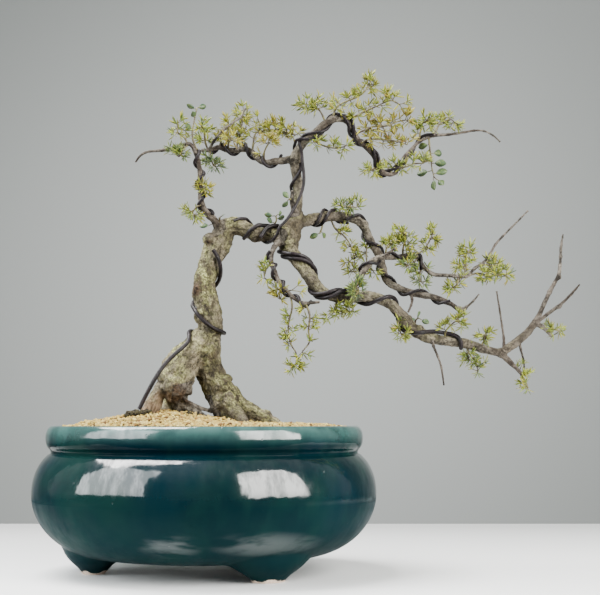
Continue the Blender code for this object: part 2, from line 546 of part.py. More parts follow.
def drain_mesh():
    """A net disc that lies over the drain hole, with a ring of holes."""
    below = POT_FLOOR + GAP
    above = below + MESH_THICKNESS
    outline = [(0, above), (MESH_RADIUS, above), (MESH_RADIUS, below), (0, below)]
    net = turned("drain_mesh", outline, 12, bonsai, net_plastic)
    for index in range(MESH_HOLES):
        turn = 2 * math.pi * index / MESH_HOLES
        hole = bmesh.new()
        made = bmesh.ops.create_cone(hole, cap_ends=True, segments=4, radius1=MESH_HOLE_RADIUS,
                                     radius2=MESH_HOLE_RADIUS, depth=0.01)
        place = Vector((MESH_HOLE_CIRCLE * math.cos(turn), MESH_HOLE_CIRCLE * math.sin(turn), POT_FLOOR))
        bmesh.ops.translate(hole, verts=made["verts"], vec=place)
        mesh = bpy.data.meshes.new(f"net_hole_{index}")
        hole.to_mesh(mesh)
        hole.free()
        cutter = add(f"net_hole_{index}", mesh, workshop)
        cut = net.modifiers.new(f"hole_{index}", "BOOLEAN")
        cut.object = cutter
    return net


def wood():
    """Roots, trunk and limbs blended into one grown body, with the bare twigs joined on."""
    rough = bmesh.new()
    for limb in LIMBS:
        piece = tube_mesh("limb", smooth(placed(limb), 3), 3)
        rough.from_mesh(piece)
        bpy.data.meshes.remove(piece)
    for column, row, depth, radius in KNOTS:
        made = bmesh.ops.create_uvsphere(rough, u_segments=12, v_segments=8, radius=radius * UNIT)
        bmesh.ops.translate(rough, verts=made["verts"], vec=at(column, row, depth))
    mesh = bpy.data.meshes.new("rough_wood")
    rough.to_mesh(mesh)
    rough.free()
    body = add("rough_wood", mesh, workshop)
    blend = body.modifiers.new("blend", "REMESH")
    blend.mode = "VOXEL"
    blend.voxel_size = WOOD_VOXEL
    ease = body.modifiers.new("ease", "SMOOTH")
    ease.factor = 0.5
    ease.iterations = 2
    fine = evaluated_mesh(body)
    remove(body)
    shaped = bmesh.new()
    shaped.from_mesh(fine)
    shaped.normal_update()
    for vert in shaped.verts:
        swell = noise.noise(vert.co * SWELLING_SCALE) + 0.5 * noise.noise(vert.co * WART_SCALE)
        vert.co += vert.normal * swell * BARK_RELIEF
    shaped.to_mesh(fine)
    shaped.free()
    body = add("fine_wood", fine, workshop)
    thin = body.modifiers.new("thin", "DECIMATE")
    thin.ratio = WOOD_FACES / (2 * len(fine.polygons))
    coarse = evaluated_mesh(body)
    remove(body)
    twigs = [tube_mesh("twig", placed(twig), 0) for twig in TWIGS]
    return union("tree", coarse, twigs, bark)


def wound(limb, first, last, turns, angle, radius):
    """A coil around a limb between two shares of its length, at the bark's radius plus the wire's."""
    way = smooth(placed(limb), 8)
    lengths = [0.0]
    for (a, _), (b, _) in zip(way, way[1:]):
        lengths.append(lengths[-1] + (b - a).length)
    count = round(abs(turns) * WIRE_STEPS * 2)
    side = Vector((0, -1, 0))
    points = []
    index = 0
    for step in range(count + 1):
        share = first + (last - first) * step / count
        while index < len(way) - 2 and lengths[index + 1] < share * lengths[-1]:
            index += 1
        t = (share * lengths[-1] - lengths[index]) / (lengths[index + 1] - lengths[index])
        centre = way[index][0].lerp(way[index + 1][0], t)
        bark_radius = way[index][1] + (way[index + 1][1] - way[index][1]) * t
        along = (way[index + 1][0] - way[index][0]).normalized()
        side = (side - along * side.dot(along)).normalized()
        turn = Matrix.Rotation(math.radians(angle) + 2 * math.pi * turns * step / count, 3, along)
        points.append(centre + turn @ side * (bark_radius + radius + 2 * GAP))
    return points


def clear_of(points, solids, distance, fixed=0):
    """The points pushed outward until they keep a distance from every solid; the first ones stay."""
    for _ in range(4):
        for index in range(fixed, len(points)):
            for solid in solids:
                near, normal, _, span = solid.find_nearest(points[index], distance * 2)
                if near is None:
                    continue
                away = points[index] - near
                if away.dot(normal) < 0:
                    points[index] = near + normal * distance
                elif span < distance:
                    points[index] = near + (away.normalized() if span > 0 else normal) * distance
    return points


def even(points, spacing):
    """The same way with points every spacing along it."""
    result = [points[0]]
    left = spacing
    for a, b in zip(points, points[1:]):
        length = (b - a).length
        done = 0.0
        while length - done >= left:
            done += left
            result.append(a.lerp(b, done / length))
            left = spacing
        left -= length - done
    return result


def wire(name, points, radius, solids):
    """A wire laid over the wood and over the wires before it, with clearance all along."""
    dense = even(points, WIRE_SPACING / 2)
    for attempt in range(8):
        clearance = radius + GAP + 0.0002 + attempt * 0.00025
        laid = clear_of([point.copy() for point in dense], solids, clearance)
        for _ in range(12):
            eased = [a.lerp((b + c) / 2, 0.4) for a, b, c in zip(laid, laid[:1] + laid, laid[1:] + laid[-1:])]
            laid = clear_of(eased, solids, clearance)
        mesh = tube_mesh(name, [(point, radius) for point in laid[::2]], 0)
        search = tree_of(mesh)
        if not any(search.overlap(solid) for solid in solids):
            break
    else:
        raise ValueError(f"{name} still touches its neighbours")
    add(name, mesh, bonsai, anodised)
    solids.append(search)


def wires(solids):
    """Every training wire, in the order in which it was put on."""
    hand = [at(*place) for place in TRUNK_WIRE]
    dense = [place for place, _ in smooth([(place, 0) for place in hand], 3)]
    wire("wire_trunk", dense, WIRE_THICK_RADIUS, solids)
    through_junction = TRUNK[9:] + LOWER_ARM
    wire("wire_lower_arm", wound(through_junction, 0.06, 0.73, -4.23, 83, WIRE_THICK_RADIUS),
         WIRE_THICK_RADIUS, solids)
    wire("wire_lower_arm_second", wound(through_junction, 0.10, 0.56, -2.9, 31, WIRE_THICK_RADIUS),
         WIRE_THICK_RADIUS, solids)
    lead = [place for place, _ in smooth([(at(*place), 0) for place in CROWN_WIRE_LEAD], 2)]
    wire("wire_crown", wound(TRUNK, 0.71, 0.93, -0.75, 349, WIRE_RADIUS) + lead
         + wound(CROWN_LIMB, 0.09, 0.95, 4.3, 256, WIRE_RADIUS), WIRE_RADIUS, solids)
    wire("wire_crown_second", wound(RISER[1:-1] + CROWN_LIMB, 0.02, 0.82, 4.77, 210, WIRE_RADIUS),
         WIRE_RADIUS, solids)
    wire("wire_left_arm", wound(LEFT_ARM, 0.1, 0.93, 3.8, 40, WIRE_RADIUS), WIRE_RADIUS, solids)
    wire("wire_left_riser", wound(LEFT_RISER, 0.12, 0.6, 3.6, 10, WIRE_RADIUS), WIRE_RADIUS, solids)
    wire("wire_upper_arm", wound(UPPER_ARM, 0.1, 0.93, -5.4, 93, WIRE_RADIUS), WIRE_RADIUS, solids)
    wire("wire_upper_arm_second", wound(UPPER_ARM, 0.06, 0.3, -1.57, 283, WIRE_RADIUS), WIRE_RADIUS, solids)
    wire("wire_middle_branch", wound(MIDDLE_BRANCH, 0.1, 0.72, 3.2, 60, WIRE_RADIUS), WIRE_RADIUS, solids)
    wire("wire_hanging_branch", wound(HANGING_BRANCH, 0.2, 0.95, 3.8, 0, WIRE_RADIUS), WIRE_RADIUS, solids)


def blade_mesh(root, direction, length, width, roll):
    """One leaf: a thin keeled blade, widest before its middle."""
    leaf = bmesh.new()
    bmesh.ops.create_uvsphere(leaf, u_segments=3, v_segments=3, radius=1)
    for vert in leaf.verts:
        if abs(vert.co.z) > 0.9:
            vert.co = (0, 0, length if vert.co.z > 0 else 0)
            continue
        share, size = (BLADE_WIDEST, 1) if vert.co.z > 0 else (BLADE_ROOT / length, BLADE_ROOT_SIZE)
        across = Vector((vert.co.y, vert.co.x)).normalized() * size
        vert.co = (across.x * width / 1.732, across.y * BLADE_THICKNESS / 1.5, share * length)
    facing = direction.to_track_quat("Z", "Y").to_matrix().to_4x4() @ Matrix.Rotation(roll, 4, "Z")
    bmesh.ops.transform(leaf, matrix=Matrix.Translation(root) @ facing, verts=leaf.verts)
    bmesh.ops.recalc_face_normals(leaf, faces=leaf.faces)
    mesh = bpy.data.meshes.new("leaf")
    leaf.to_mesh(mesh)
    leaf.free()
    return mesh


def is_clear(start, end, distance, solids):
    """Whether a straight piece keeps its distance from every solid."""
    for step in range(7):
        place = start.lerp(end, step / 6)
        for solid in solids:
            if solid.find_nearest(place, distance)[0] is not None:
                return False
    return True


def nearest_on(points, place):
    """The place on a way that is nearest to a given place."""
    best = points[0]
    for a, b in zip(points, points[1:]):
        span = b - a
        share = min(1, max(0, (place - a).dot(span) / span.length_squared))
        spot = a.lerp(b, share)
        if (spot - place).length < (best - place).length:
            best = spot
    return best


def limb_depth(column, row):
    """The depth of the wood that is nearest to a place in the front view."""
    knots = [knot for limb in LIMBS + TWIGS for knot in limb]
    return min(knots, key=lambda knot: math.hypot(knot[0] - column, knot[1] - row))[2]


def rooted(root, toward, wood_search, solids, rng):
    """Where a stem starts: just off the bark, on the line from its first place to the limb."""
    for attempt in range(150):
        reach = 0.001 + attempt * 0.00006
        aim = root + Vector((rng.uniform(-1, 1), rng.uniform(-1, 1), rng.uniform(-1, 1))) * reach
        way = aim - toward
        spot, normal, _, _ = wood_search.ray_cast(toward, way.normalized(), way.length + ROOT_REACH)
        if spot is None:
            continue
        start = spot + normal * (GAP + 0.00012)
        out = start + normal * 0.0016
        if is_clear(start, out, 0.0010, solids[1:]):
            return start, out
    raise ValueError(f"no free bark for a stem at {tuple(root)}")


def drawn_spray(name, rng, solids):
    """A leafy stem: the stem rooted on the bark and its leaf blades, fused in one."""
    blade_length = ROUND_LEAF_LENGTH if name in ROUND_LEAF_SPRAYS else BLADE_LENGTH
    blade_width = ROUND_LEAF_WIDTH if name in ROUND_LEAF_SPRAYS else BLADE_WIDTH
    depth, root, stem, tufts = SPRAYS[name]
    root_depth = limb_depth(*root)
    depths = [root_depth + (depth - root_depth) * (i + 1) / len(stem) for i in range(len(stem))]
    places = [
        at(c + rng.uniform(-1, 1) * STEM_WANDER, r + rng.uniform(-1, 1) * STEM_WANDER, d + rng.uniform(-1, 1))
        for (c, r), d in zip(stem, depths)
    ]
    start, out = rooted(at(*root, root_depth), places[0], solids[0], solids, rng)
    way = clear_of([start, out] + places, solids, STEM_RADIUS + 2.5 * GAP, fixed=2)
    radii = [STEM_RADIUS * 0.4] + [STEM_RADIUS * (1.15 - 0.45 * i / len(way)) for i in range(len(way) - 1)]
    main = tube_mesh(name, list(zip(way, radii)), 0)
    blades = []
    for column, row in tufts:
        nearest = min(range(len(stem)), key=lambda i: math.hypot(stem[i][0] - column, stem[i][1] - row))
        for _ in range(BLADES_PER_TUFT):
            for _ in range(BLADE_TRIES):
                place = at(column + rng.uniform(-3, 3), row + rng.uniform(-3, 3),
                           depths[nearest] + rng.uniform(-TUFT_DEPTH, TUFT_DEPTH))
                on_stem = nearest_on(way[2:], place)
                facing = (place - on_stem).normalized()
                length = min(1.3, max(0.85, (place - on_stem).length / blade_length)) * blade_length
                width = blade_width * rng.uniform(0.85, 1.1)
                base, tip = on_stem + facing * STEM_RADIUS, on_stem + facing * length
                if is_clear(base, tip, width / 2 + GAP, solids):
                    sunk = on_stem - facing * BLADE_SINK
                    blades.append(blade_mesh(sunk, facing, length, width, rng.uniform(0, math.pi)))
                    break
    fused = union(f"leaves_{name}", main, blades, leaf_green)
    thin = fused.modifiers.new("thin", "DECIMATE")
    for share in ROUND_SPRAY_FACE_SHARES if name in ROUND_LEAF_SPRAYS else SPRAY_FACE_SHARES:
        thin.ratio = share
        lighter = evaluated_mesh(fused)
        keep_largest_body(lighter)
        if is_sound(lighter):
            break
    fused.modifiers.clear()
    fused.data = lighter
    return fused


def spray(name, solids):
    """The first drawing of a leafy stem that is sound and clear of everything before it."""
    for draw in range(FIRST_DRAWS.get(name, 0), MOST_DRAWS):
        fused = drawn_spray(name, random.Random(f"{name} {draw}"), solids)
        search = tree_of(fused.data)
        if is_sound(fused.data) and not any(search.overlap(solid) for solid in solids):
            solids.append(search)
            return
        remove(fused)
    raise ValueError(f"no room for {name}")


def soil(tree):
    """The filled mass of grains, heaped around the trunk, with a hole that clears the root base."""
    floor = POT_FLOOR + GAP
    cover = floor + MESH_THICKNESS + GAP
    rings = [(radius, POT_RIM_TOP) for radius in SOIL_RINGS]
    profile = rings + [(SOIL_EDGE, POT_RIM_TOP)] + list(reversed(inner_wall(2 * GAP)))
    recess = MESH_RADIUS + GAP * 3
    profile += [(POT_BASE_RADIUS, floor), (recess, floor), (recess, cover), (0, cover)]
    mass = turned("soil_mass", profile, POT_STEPS, workshop)
    mesh = evaluated_mesh(mass)
    remove(mass)
    for vert in mesh.vertices:
        if vert.co.z > POT_RIM_TOP - 0.001:
            reach = Vector((vert.co.x - SOIL_MOUND_CENTRE[0], vert.co.y - SOIL_MOUND_CENTRE[1])).length
            heap = SOIL_MOUND_HEIGHT * math.exp(-(reach / SOIL_MOUND_SPREAD) ** 2)
            edge = min(1, (SOIL_EDGE - math.hypot(vert.co.x, vert.co.y)) / SOIL_EDGE_WIDTH)
            relief = SOIL_RELIEF * noise.noise(vert.co * SOIL_RELIEF_SCALE)
            vert.co.z = POT_RIM_TOP - SOIL_DROP + (heap + relief + SOIL_FILL) * max(0, edge)
    filled = add("soil", mesh, bonsai, grains)
    swollen = tree.data.copy()
    root_hole = add("root_hole", swollen, workshop)
    grow = root_hole.modifiers.new("grow", "DISPLACE")
    grow.strength = ROOT_CLEARANCE
    grow.mid_level = 0
    below = bmesh.new()
    bmesh.ops.create_cube(below, size=0.4)
    bmesh.ops.translate(below, verts=below.verts, vec=(0, 0, 0.15 - 0.2))
    lid_mesh = bpy.data.meshes.new("below")
    below.to_mesh(lid_mesh)
    below.free()
    lid = add("below", lid_mesh, workshop)
    keep = root_hole.modifiers.new("keep", "BOOLEAN")
    keep.operation = "INTERSECT"
    keep.object = lid
    hole_mesh = evaluated_mesh(root_hole)
    remove(root_hole)
    root_hole = add("root_hole", hole_mesh, workshop)
    cut = filled.modifiers.new("cut", "BOOLEAN")
    cut.object = root_hole
    solid = evaluated_mesh(filled)
    remove(filled)
    keep_largest_body(solid)
    return add("soil", solid, bonsai, grains)


for thing in list(bpy.data.objects):
    bpy.data.objects.remove(thing)

bonsai = bpy.data.collections.new("bonsai")
workshop = bpy.data.collections.new("cutters")
bpy.context.scene.collection.children.link(bonsai)
bpy.context.scene.collection.children.link(workshop)

glaze = material("teal_glaze", (0.010, 0.075, 0.085), 0.12)
bark = material("grey_bark", (0.30, 0.25, 0.19), 0.85)
anodised = material("dark_anodised_wire", (0.030, 0.028, 0.030), 0.35, 0.7)
leaf_green = material("leaf", (0.42, 0.45, 0.13), 0.55)
grains = material("pale_grains", (0.68, 0.55, 0.34), 0.95)
net_plastic = material("net_plastic", (0.03, 0.03, 0.03), 0.6)

pot()
drain_mesh()
tree = wood()
solids = [tree_of(tree.data)]
wires(solids)
for name in SPRAYS:
    spray(name, solids)
soil(tree)

for cutter in workshop.all_objects:
    cutter.hide_render = True
    cutter.hide_viewport = False
    cutter.display_type = "WIRE"

# The whole object is centred on the origin, above the plane it rests on
stand = bpy.data.objects.new("bonsai_origin", None)
bpy.context.scene.collection.objects.link(stand)
bpy.context.view_layer.update()
corners = [piece.matrix_world @ Vector(corner) for piece in bonsai.objects for corner in piece.bound_box]
stand.location = (-(min(c.x for c in corners) + max(c.x for c in corners)) / 2,
                  -(min(c.y for c in corners) + max(c.y for c in corners)) / 2, 0)
for piece in list(bonsai.objects) + list(workshop.objects):
    piece.parent = stand
for piece in bonsai.objects:
    for face in piece.data.polygons:
        face.use_smooth = True
    piece.data.set_sharp_from_angle(angle=math.radians(40))
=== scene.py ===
import math
import random

import bmesh
import bpy
from mathutils import Matrix, Vector, noise
from mathutils.bvhtree import BVHTree
from mathutils.kdtree import KDTree


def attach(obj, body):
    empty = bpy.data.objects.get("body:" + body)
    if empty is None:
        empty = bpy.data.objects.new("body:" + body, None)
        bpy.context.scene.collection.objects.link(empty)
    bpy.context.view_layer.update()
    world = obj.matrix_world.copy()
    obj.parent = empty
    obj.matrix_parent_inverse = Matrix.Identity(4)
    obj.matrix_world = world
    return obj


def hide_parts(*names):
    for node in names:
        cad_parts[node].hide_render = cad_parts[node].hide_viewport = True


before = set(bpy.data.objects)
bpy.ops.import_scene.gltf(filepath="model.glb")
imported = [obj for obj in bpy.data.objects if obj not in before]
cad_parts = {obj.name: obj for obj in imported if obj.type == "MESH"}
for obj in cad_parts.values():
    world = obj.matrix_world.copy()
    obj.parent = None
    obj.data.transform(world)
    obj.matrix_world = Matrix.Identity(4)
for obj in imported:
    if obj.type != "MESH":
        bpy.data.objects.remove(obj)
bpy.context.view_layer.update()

# The table and the backdrop. A white table board whose far edge shows behind the pot, painted darker towards
# that far edge as painted shade, before a plain grey wall a long way off that is paler at its middle, a
# painted pool of light.
WALL_DISTANCE = 2.4


def add_node(near, kind, inputs=(), **settings):
    """A shader node in the tree of a socket or node, its inputs joined to sockets or given values."""
    made = near.id_data.nodes.new("ShaderNode" + kind)
    for name, value in settings.items():
        setattr(made, name, value)
    for name, value in dict(inputs).items():
        if isinstance(value, bpy.types.NodeSocket):
            near.id_data.links.new(value, made.inputs[name])
        else:
            made.inputs[name].default_value = value
    return made


def feed(shader, socket, value):
    shader.id_data.links.new(value, shader.inputs[socket])


def new_material(name, **values):
    """A material, its shader with the values that are the same all over it, and the places on its piece."""
    made = bpy.data.materials.new(name)
    made.use_nodes = True
    shader = made.node_tree.nodes["Principled BSDF"]
    for socket, value in values.items():
        shader.inputs[socket.replace("_", " ")].default_value = value
    return made, shader, add_node(shader, "TexCoord").outputs["Object"]


def maths(operation, first, second=0.0, third=0.0, clamp=False):
    made = add_node(first, "Math", {0: first, 1: second, 2: third}, operation=operation, use_clamp=clamp)
    return made.outputs[0]


def between(value, start, end, low=0.0, high=1.0, eased=True):
    """How far a value is on its way between two marks, from low to high, eased at both ends or straight."""
    marks_and_light = {"Value": value, "From Min": start, "From Max": end, "To Min": low, "To Max": high}
    kind = "SMOOTHSTEP" if eased else "LINEAR"
    return add_node(value, "MapRange", marks_and_light, interpolation_type=kind).outputs[0]


def blend(mask, dark, light, share=1.0):
    """A colour between two by a share of a mask; either colour may be a socket or a linear colour."""
    if share != 1.0:
        mask = maths("MULTIPLY", mask, share)
    ends = [end if isinstance(end, bpy.types.NodeSocket) else (*end, 1) for end in (dark, light)]
    return add_node(mask, "Mix", {0: mask, 6: ends[0], 7: ends[1]}, data_type="RGBA").outputs[2]


def mesh_from(shaped, name):
    mesh = bpy.data.meshes.new(name)
    shaped.to_mesh(mesh)
    shaped.free()
    return mesh


def in_scene(name, data):
    thing = bpy.data.objects.new(name, data)
    bpy.context.scene.collection.objects.link(thing)
    return thing


def put_on_stage(name, shaped, coat):
    thing = in_scene(name, mesh_from(shaped, name))
    thing.data.materials.append(coat)


table_white, shader, here = new_material("table_white", Roughness=0.42)
# Painted shade: the board's colour darkens towards its far edge
painted_far_shade = between(add_node(here, "SeparateXYZ", {0: here}).outputs["Y"], 0.0, 0.46, eased=False)
feed(shader, "Base Color", blend(painted_far_shade, (0.93, 0.935, 0.93), (0.40, 0.405, 0.40)))
board = bmesh.new()
board_place = Matrix.Translation((0, 0.159, -0.02)) @ Matrix.Diagonal((0.88, 0.682, 0.04, 1))
bmesh.ops.create_cube(board, size=1, matrix=board_place)
bmesh.ops.bevel(board, geom=board.edges[:], offset=0.004, segments=3, affect="EDGES", profile=0.5,
                material=-1)
put_on_stage("table_board", board, table_white)

wall_grey, shader, here = new_material("wall_grey", Roughness=0.95)
middle = (0.0, WALL_DISTANCE, 0.45)
# Painted light: the wall's colour is paler near its middle, a painted pool of light on it
span = add_node(here, "VectorMath", {0: here, 1: middle}, operation="DISTANCE").outputs["Value"]
feed(shader, "Base Color", blend(between(span, 0.1, 1.2), (0.50, 0.52, 0.512), (0.345, 0.362, 0.354)))
wall = bmesh.new()
wall_place = Matrix.Translation((0, WALL_DISTANCE, 1)) @ Matrix.Rotation(math.pi / 2, 4, "X")
bmesh.ops.create_grid(wall, x_segments=1, y_segments=1, size=5, matrix=wall_place)
put_on_stage("wall", wall, wall_grey)

# The lights and the camera. Two upright soft boxes stand before the pot like windows and show in its
# glaze, and the strongest one hangs above the table to its left. The room is dim before the pot and paler
# behind and above it.
UNIT = 0.0008
POT_X = -0.08106
POT_COLUMN, TABLE_ROW = 206.5, 567.5
EYE_DISTANCE = 1.08
eye = Vector((POT_X + (300 - POT_COLUMN) * UNIT, -EYE_DISTANCE, (TABLE_ROW - 420) * UNIT))

surroundings = bpy.data.worlds.new("surroundings")
surroundings.use_nodes = True
background = surroundings.node_tree.nodes["Background"]
ways = add_node(background, "SeparateXYZ", {0: add_node(background, "TexCoord").outputs["Generated"]}).outputs
sky = blend(between(ways["Y"], -0.3, 0.7), (0.08, 0.086, 0.09), (0.46, 0.48, 0.48))
sky = blend(between(ways["Z"], 0.35, 0.95), sky, (0.50, 0.515, 0.515))
feed(background, "Color", blend(between(ways["Z"], -0.15, 0.05), (0.05, 0.05, 0.05), sky))
bpy.context.scene.world = surroundings


def soft_box(name, azimuth, elevation, distance, size, power, colour, upright=True):
    """A soft box that faces the pot, its place given by angles seen from the pot."""
    turn, rise = math.radians(azimuth), math.radians(elevation)
    away = Vector((math.sin(turn) * math.cos(rise), -math.cos(turn) * math.cos(rise), math.sin(rise)))
    lamp = bpy.data.lights.new(name, "AREA")
    lamp.shape = "RECTANGLE"
    lamp.size, lamp.size_y = size
    lamp.energy = power
    lamp.color = colour
    box = in_scene(name, lamp)
    box.location = Vector((POT_X, 0, 0.08)) + away * distance
    facing = Vector((away.x, away.y, 0)) if upright else away
    box.rotation_euler = facing.to_track_quat("Z", "Y").to_euler()


soft_box("window_left", -60, 33, 1.55, (1.2, 1.5), 54, (0.95, 0.99, 1.0))
soft_box("window_right", 50, 30, 1.5, (1.0, 1.4), 74, (1.0, 0.99, 0.95))
soft_box("above_left", -100, 66, 1.6, (1.0, 1.0), 92, (1.0, 0.995, 0.985), upright=False)

optics = bpy.data.cameras.new("camera")
optics.sensor_width = 36
optics.lens = 81.4
camera = in_scene("camera", optics)
camera.location = eye
camera.rotation_euler = (math.radians(95.19), 0, 0)
bpy.context.scene.camera = camera

# The pot. A thrown stoneware bowl with a thick rolled lip over a short neck and three feet drawn out of its
# belly, dipped in a deep teal glaze that runs thin and paler over the lip. The soles are wiped bare.
RIM_TOP = 0.1140
NECK_RADIUS = 0.1225
BULGE_RADIUS = 0.1350
BULGE_HEIGHT = 0.0620
WALL = 0.0065
UNDERSIDE = 0.0130
POT_FLOOR = 0.0215
BASE_RADIUS = 0.0780


def arc(centre, radii, start, end, count):
    """Points on an ellipse arc, angles in degrees from the outward direction, counted upwards."""
    angles = [math.radians(start + (end - start) * i / (count - 1)) for i in range(count)]
    return [(centre[0] + radii[0] * math.cos(a), centre[1] + radii[1] * math.sin(a)) for a in angles]


def turned(outline, steps, closed=True):
    """A bmesh turned on the wheel from an outline of radii and heights, about the world's upright axis."""
    shaped = bmesh.new()
    points = [shaped.verts.new((radius, 0, height)) for radius, height in outline]
    pairs = zip(points, points[1:] + points[:1]) if closed else zip(points, points[1:])
    lines = [shaped.edges.new(pair) for pair in pairs]
    bmesh.ops.spin(shaped, geom=points + lines, cent=(0, 0, 0), axis=(0, 0, 1), angle=2 * math.pi,
                   steps=steps, use_merge=True)
    bmesh.ops.remove_doubles(shaped, verts=shaped.verts, dist=0.00001)
    bmesh.ops.recalc_face_normals(shaped, faces=shaped.faces)
    return shaped


lip = arc((0.1195, 0.1046), (0.0052, 0.0094), 98, -66, 18)
neck = [(0.1209, 0.0948), (0.1205, 0.0936), (0.1209, 0.0924)]
shoulder = arc((0.110, BULGE_HEIGHT), (0.025, 0.0345), 60, 0, 18)
belly = arc((BASE_RADIUS, BULGE_HEIGHT), (BULGE_RADIUS - BASE_RADIUS, BULGE_HEIGHT - UNDERSIDE), -5, -90, 26)
floor = [(0.060, UNDERSIDE), (0.030, UNDERSIDE), (0.0105, UNDERSIDE), (0.0090, UNDERSIDE + 0.0015),
         (0.0090, POT_FLOOR - 0.0010), (0.0100, POT_FLOOR), (0.040, POT_FLOOR), (BASE_RADIUS, POT_FLOOR)]
inside_radii = (BULGE_RADIUS - BASE_RADIUS - WALL, BULGE_HEIGHT - POT_FLOOR)
inside = arc((BASE_RADIUS, BULGE_HEIGHT), inside_radii, -84, 0, 14)
inside += arc((0.110, BULGE_HEIGHT), (0.025 - WALL, 0.0365), 10, 58, 8)
inside += [(NECK_RADIUS - WALL, 0.0960), (NECK_RADIUS - WALL, RIM_TOP - 0.0030), (0.1175, RIM_TOP - 0.0006)]
pot_shape = turned(lip + neck + shoulder + belly + floor + inside, 160)

FOOT_CIRCLE = 0.0860
FOOT_DEGREES = (37.0, -83.0, 157.0)
FOOT_WIDTH, FOOT_DEPTH, FOOT_HEIGHT, FOOT_BLEND = 0.0270, 0.0190, 0.0210, 0.0022
FACING_DOWN = -0.05
# A foot's flank: its reach in half widths, and the share of its height there
FLANK = ((0.92, 0.0), (0.98, 0.015), (1.02, 0.045), (1.07, 0.09), (1.18, 0.155), (1.35, 0.24), (1.6, 0.34),
         (1.8, 0.42), (2.0, 0.51), (2.2, 0.62), (2.45, 0.80), (2.6, 1.0), (6.0, 6.0))


def foot_reach(place):
    """How far out from the nearest foot's middle a place is, in half widths of the foot."""
    reaches = []
    for degrees in FOOT_DEGREES:
        turn = math.radians(degrees)
        middle = Vector((FOOT_CIRCLE * math.sin(turn), -FOOT_CIRCLE * math.cos(turn), 0))
        off = Matrix.Rotation(-turn, 3, "Z") @ (place - middle)
        reaches.append(2 * math.hypot(off.x / FOOT_WIDTH, off.y / FOOT_DEPTH))
    return min(reaches)


def flank_height(reach):
    for (near, low), (far, high) in zip(FLANK, FLANK[1:]):
        if near <= reach < far:
            return FOOT_HEIGHT * (low + (high - low) * (reach - near) / (far - near))
    return 0.0 if reach < FLANK[0][0] else FOOT_HEIGHT * FLANK[-1][1]


pot_shape.normal_update()
underside = [face for face in pot_shape.faces
             if face.normal.z < FACING_DOWN and foot_reach(face.calc_center_median()) < 3.6]
rims = list(dict.fromkeys(edge for face in underside for edge in face.edges))
bmesh.ops.subdivide_edges(pot_shape, edges=rims, cuts=2, use_grid_fill=True)
pot_shape.normal_update()
for vert in pot_shape.verts:
    reach = foot_reach(vert.co)
    if vert.normal.z > FACING_DOWN or reach > 4 or vert.co.z > 0.06:
        continue
    out = max(0, math.hypot(vert.co.x, vert.co.y) - BASE_RADIUS) / (BULGE_RADIUS - BASE_RADIUS)
    own = BULGE_HEIGHT - (BULGE_HEIGHT - UNDERSIDE) * math.sqrt(max(0, 1 - out * out))
    flank = flank_height(reach)
    low, high = min(own, flank), max(own, flank)
    vert.co.z = max(0.0, low - FOOT_BLEND * math.log(1 + math.exp((low - high) / FOOT_BLEND)))
for vert in pot_shape.verts:
    # The wheel's slow wander
    vert.co += Vector((vert.co.x, vert.co.y, 0)).normalized() * 0.00025 * noise.noise(vert.co * 22)
bmesh.ops.translate(pot_shape, verts=pot_shape.verts, vec=(POT_X, 0, 0))


def put(name, mesh, coat, smooth=True):
    """A finished piece at the origin that stands on the frame's one body."""
    piece = in_scene(name, mesh)
    mesh.materials.clear()
    mesh.materials.append(coat)
    mesh.shade_smooth() if smooth else mesh.shade_flat()
    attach(piece, "root")
    return piece


def texture(vector, kind, scale, **values):
    return add_node(vector, "Tex" + kind, {"Vector": vector, "Scale": scale, **values}).outputs[0]


def roughen(shader, height, distance, strength):
    """Fine relief as a bump on the shader's normal."""
    bump = add_node(shader, "Bump", {"Height": height, "Distance": distance, "Strength": strength})
    feed(shader, "Normal", bump.outputs[0])


def soft_patches(vector, scale, low, high, roughness):
    return between(texture(vector, "Noise", scale, Roughness=roughness, Detail=4.0), low, high)


# Mottling, a shared effect: soft patches of a chosen size, as a mask between a low and a high threshold
KNOBS = ("Vector", "Scale", "Low", "High", "Roughness")
mottle_group = bpy.data.node_groups.new("mottle", "ShaderNodeTree")
for knob in KNOBS:
    kind = "NodeSocketVector" if knob == "Vector" else "NodeSocketFloat"
    mottle_group.interface.new_socket(knob, in_out="INPUT", socket_type=kind)
mottle_group.interface.new_socket("Mask", in_out="OUTPUT", socket_type="NodeSocketFloat")
ins = mottle_group.nodes.new("NodeGroupInput").outputs
outs = mottle_group.nodes.new("NodeGroupOutput")
feed(outs, "Mask", soft_patches(*[ins[knob] for knob in KNOBS]))


def mottle(vector, scale, low=0.4, high=0.6, roughness=0.5):
    knobs = dict(zip(KNOBS, (vector, scale, low, high, roughness)))
    return add_node(vector, "Group", knobs, node_tree=mottle_group).outputs["Mask"]


glaze, shader, here = new_material("teal_glaze", IOR=1.52)
height = add_node(here, "SeparateXYZ", {0: here}).outputs["Z"]
tone = blend(mottle(here, 26, 0.38, 0.64), (0.0012, 0.0100, 0.0128), (0.0036, 0.0190, 0.0170))
tone = blend(mottle(here, 14, 0.46, 0.68), tone, (0.0010, 0.0098, 0.0180), 0.7)
# Runs: patches stretched down the wall
runs = add_node(here, "Mapping", {"Vector": here, "Scale": (1, 1, 0.28)}).outputs[0]
tone = blend(mottle(runs, 90, 0.52, 0.7), tone, (0.0048, 0.021, 0.019), 0.35)
# The glaze breaks pale where it is thin, over the lip, and is a little paler low on the belly
patchy = maths("MULTIPLY_ADD", mottle(here, 60, 0.35, 0.65), 0.45, 0.5)
tone = blend(maths("MULTIPLY", between(height, 0.0985, 0.1125), patchy), tone, (0.038, 0.094, 0.086))
tone = blend(between(height, 0.068, 0.040, 0.0, 0.45, eased=False), tone, (0.0060, 0.0205, 0.0225))
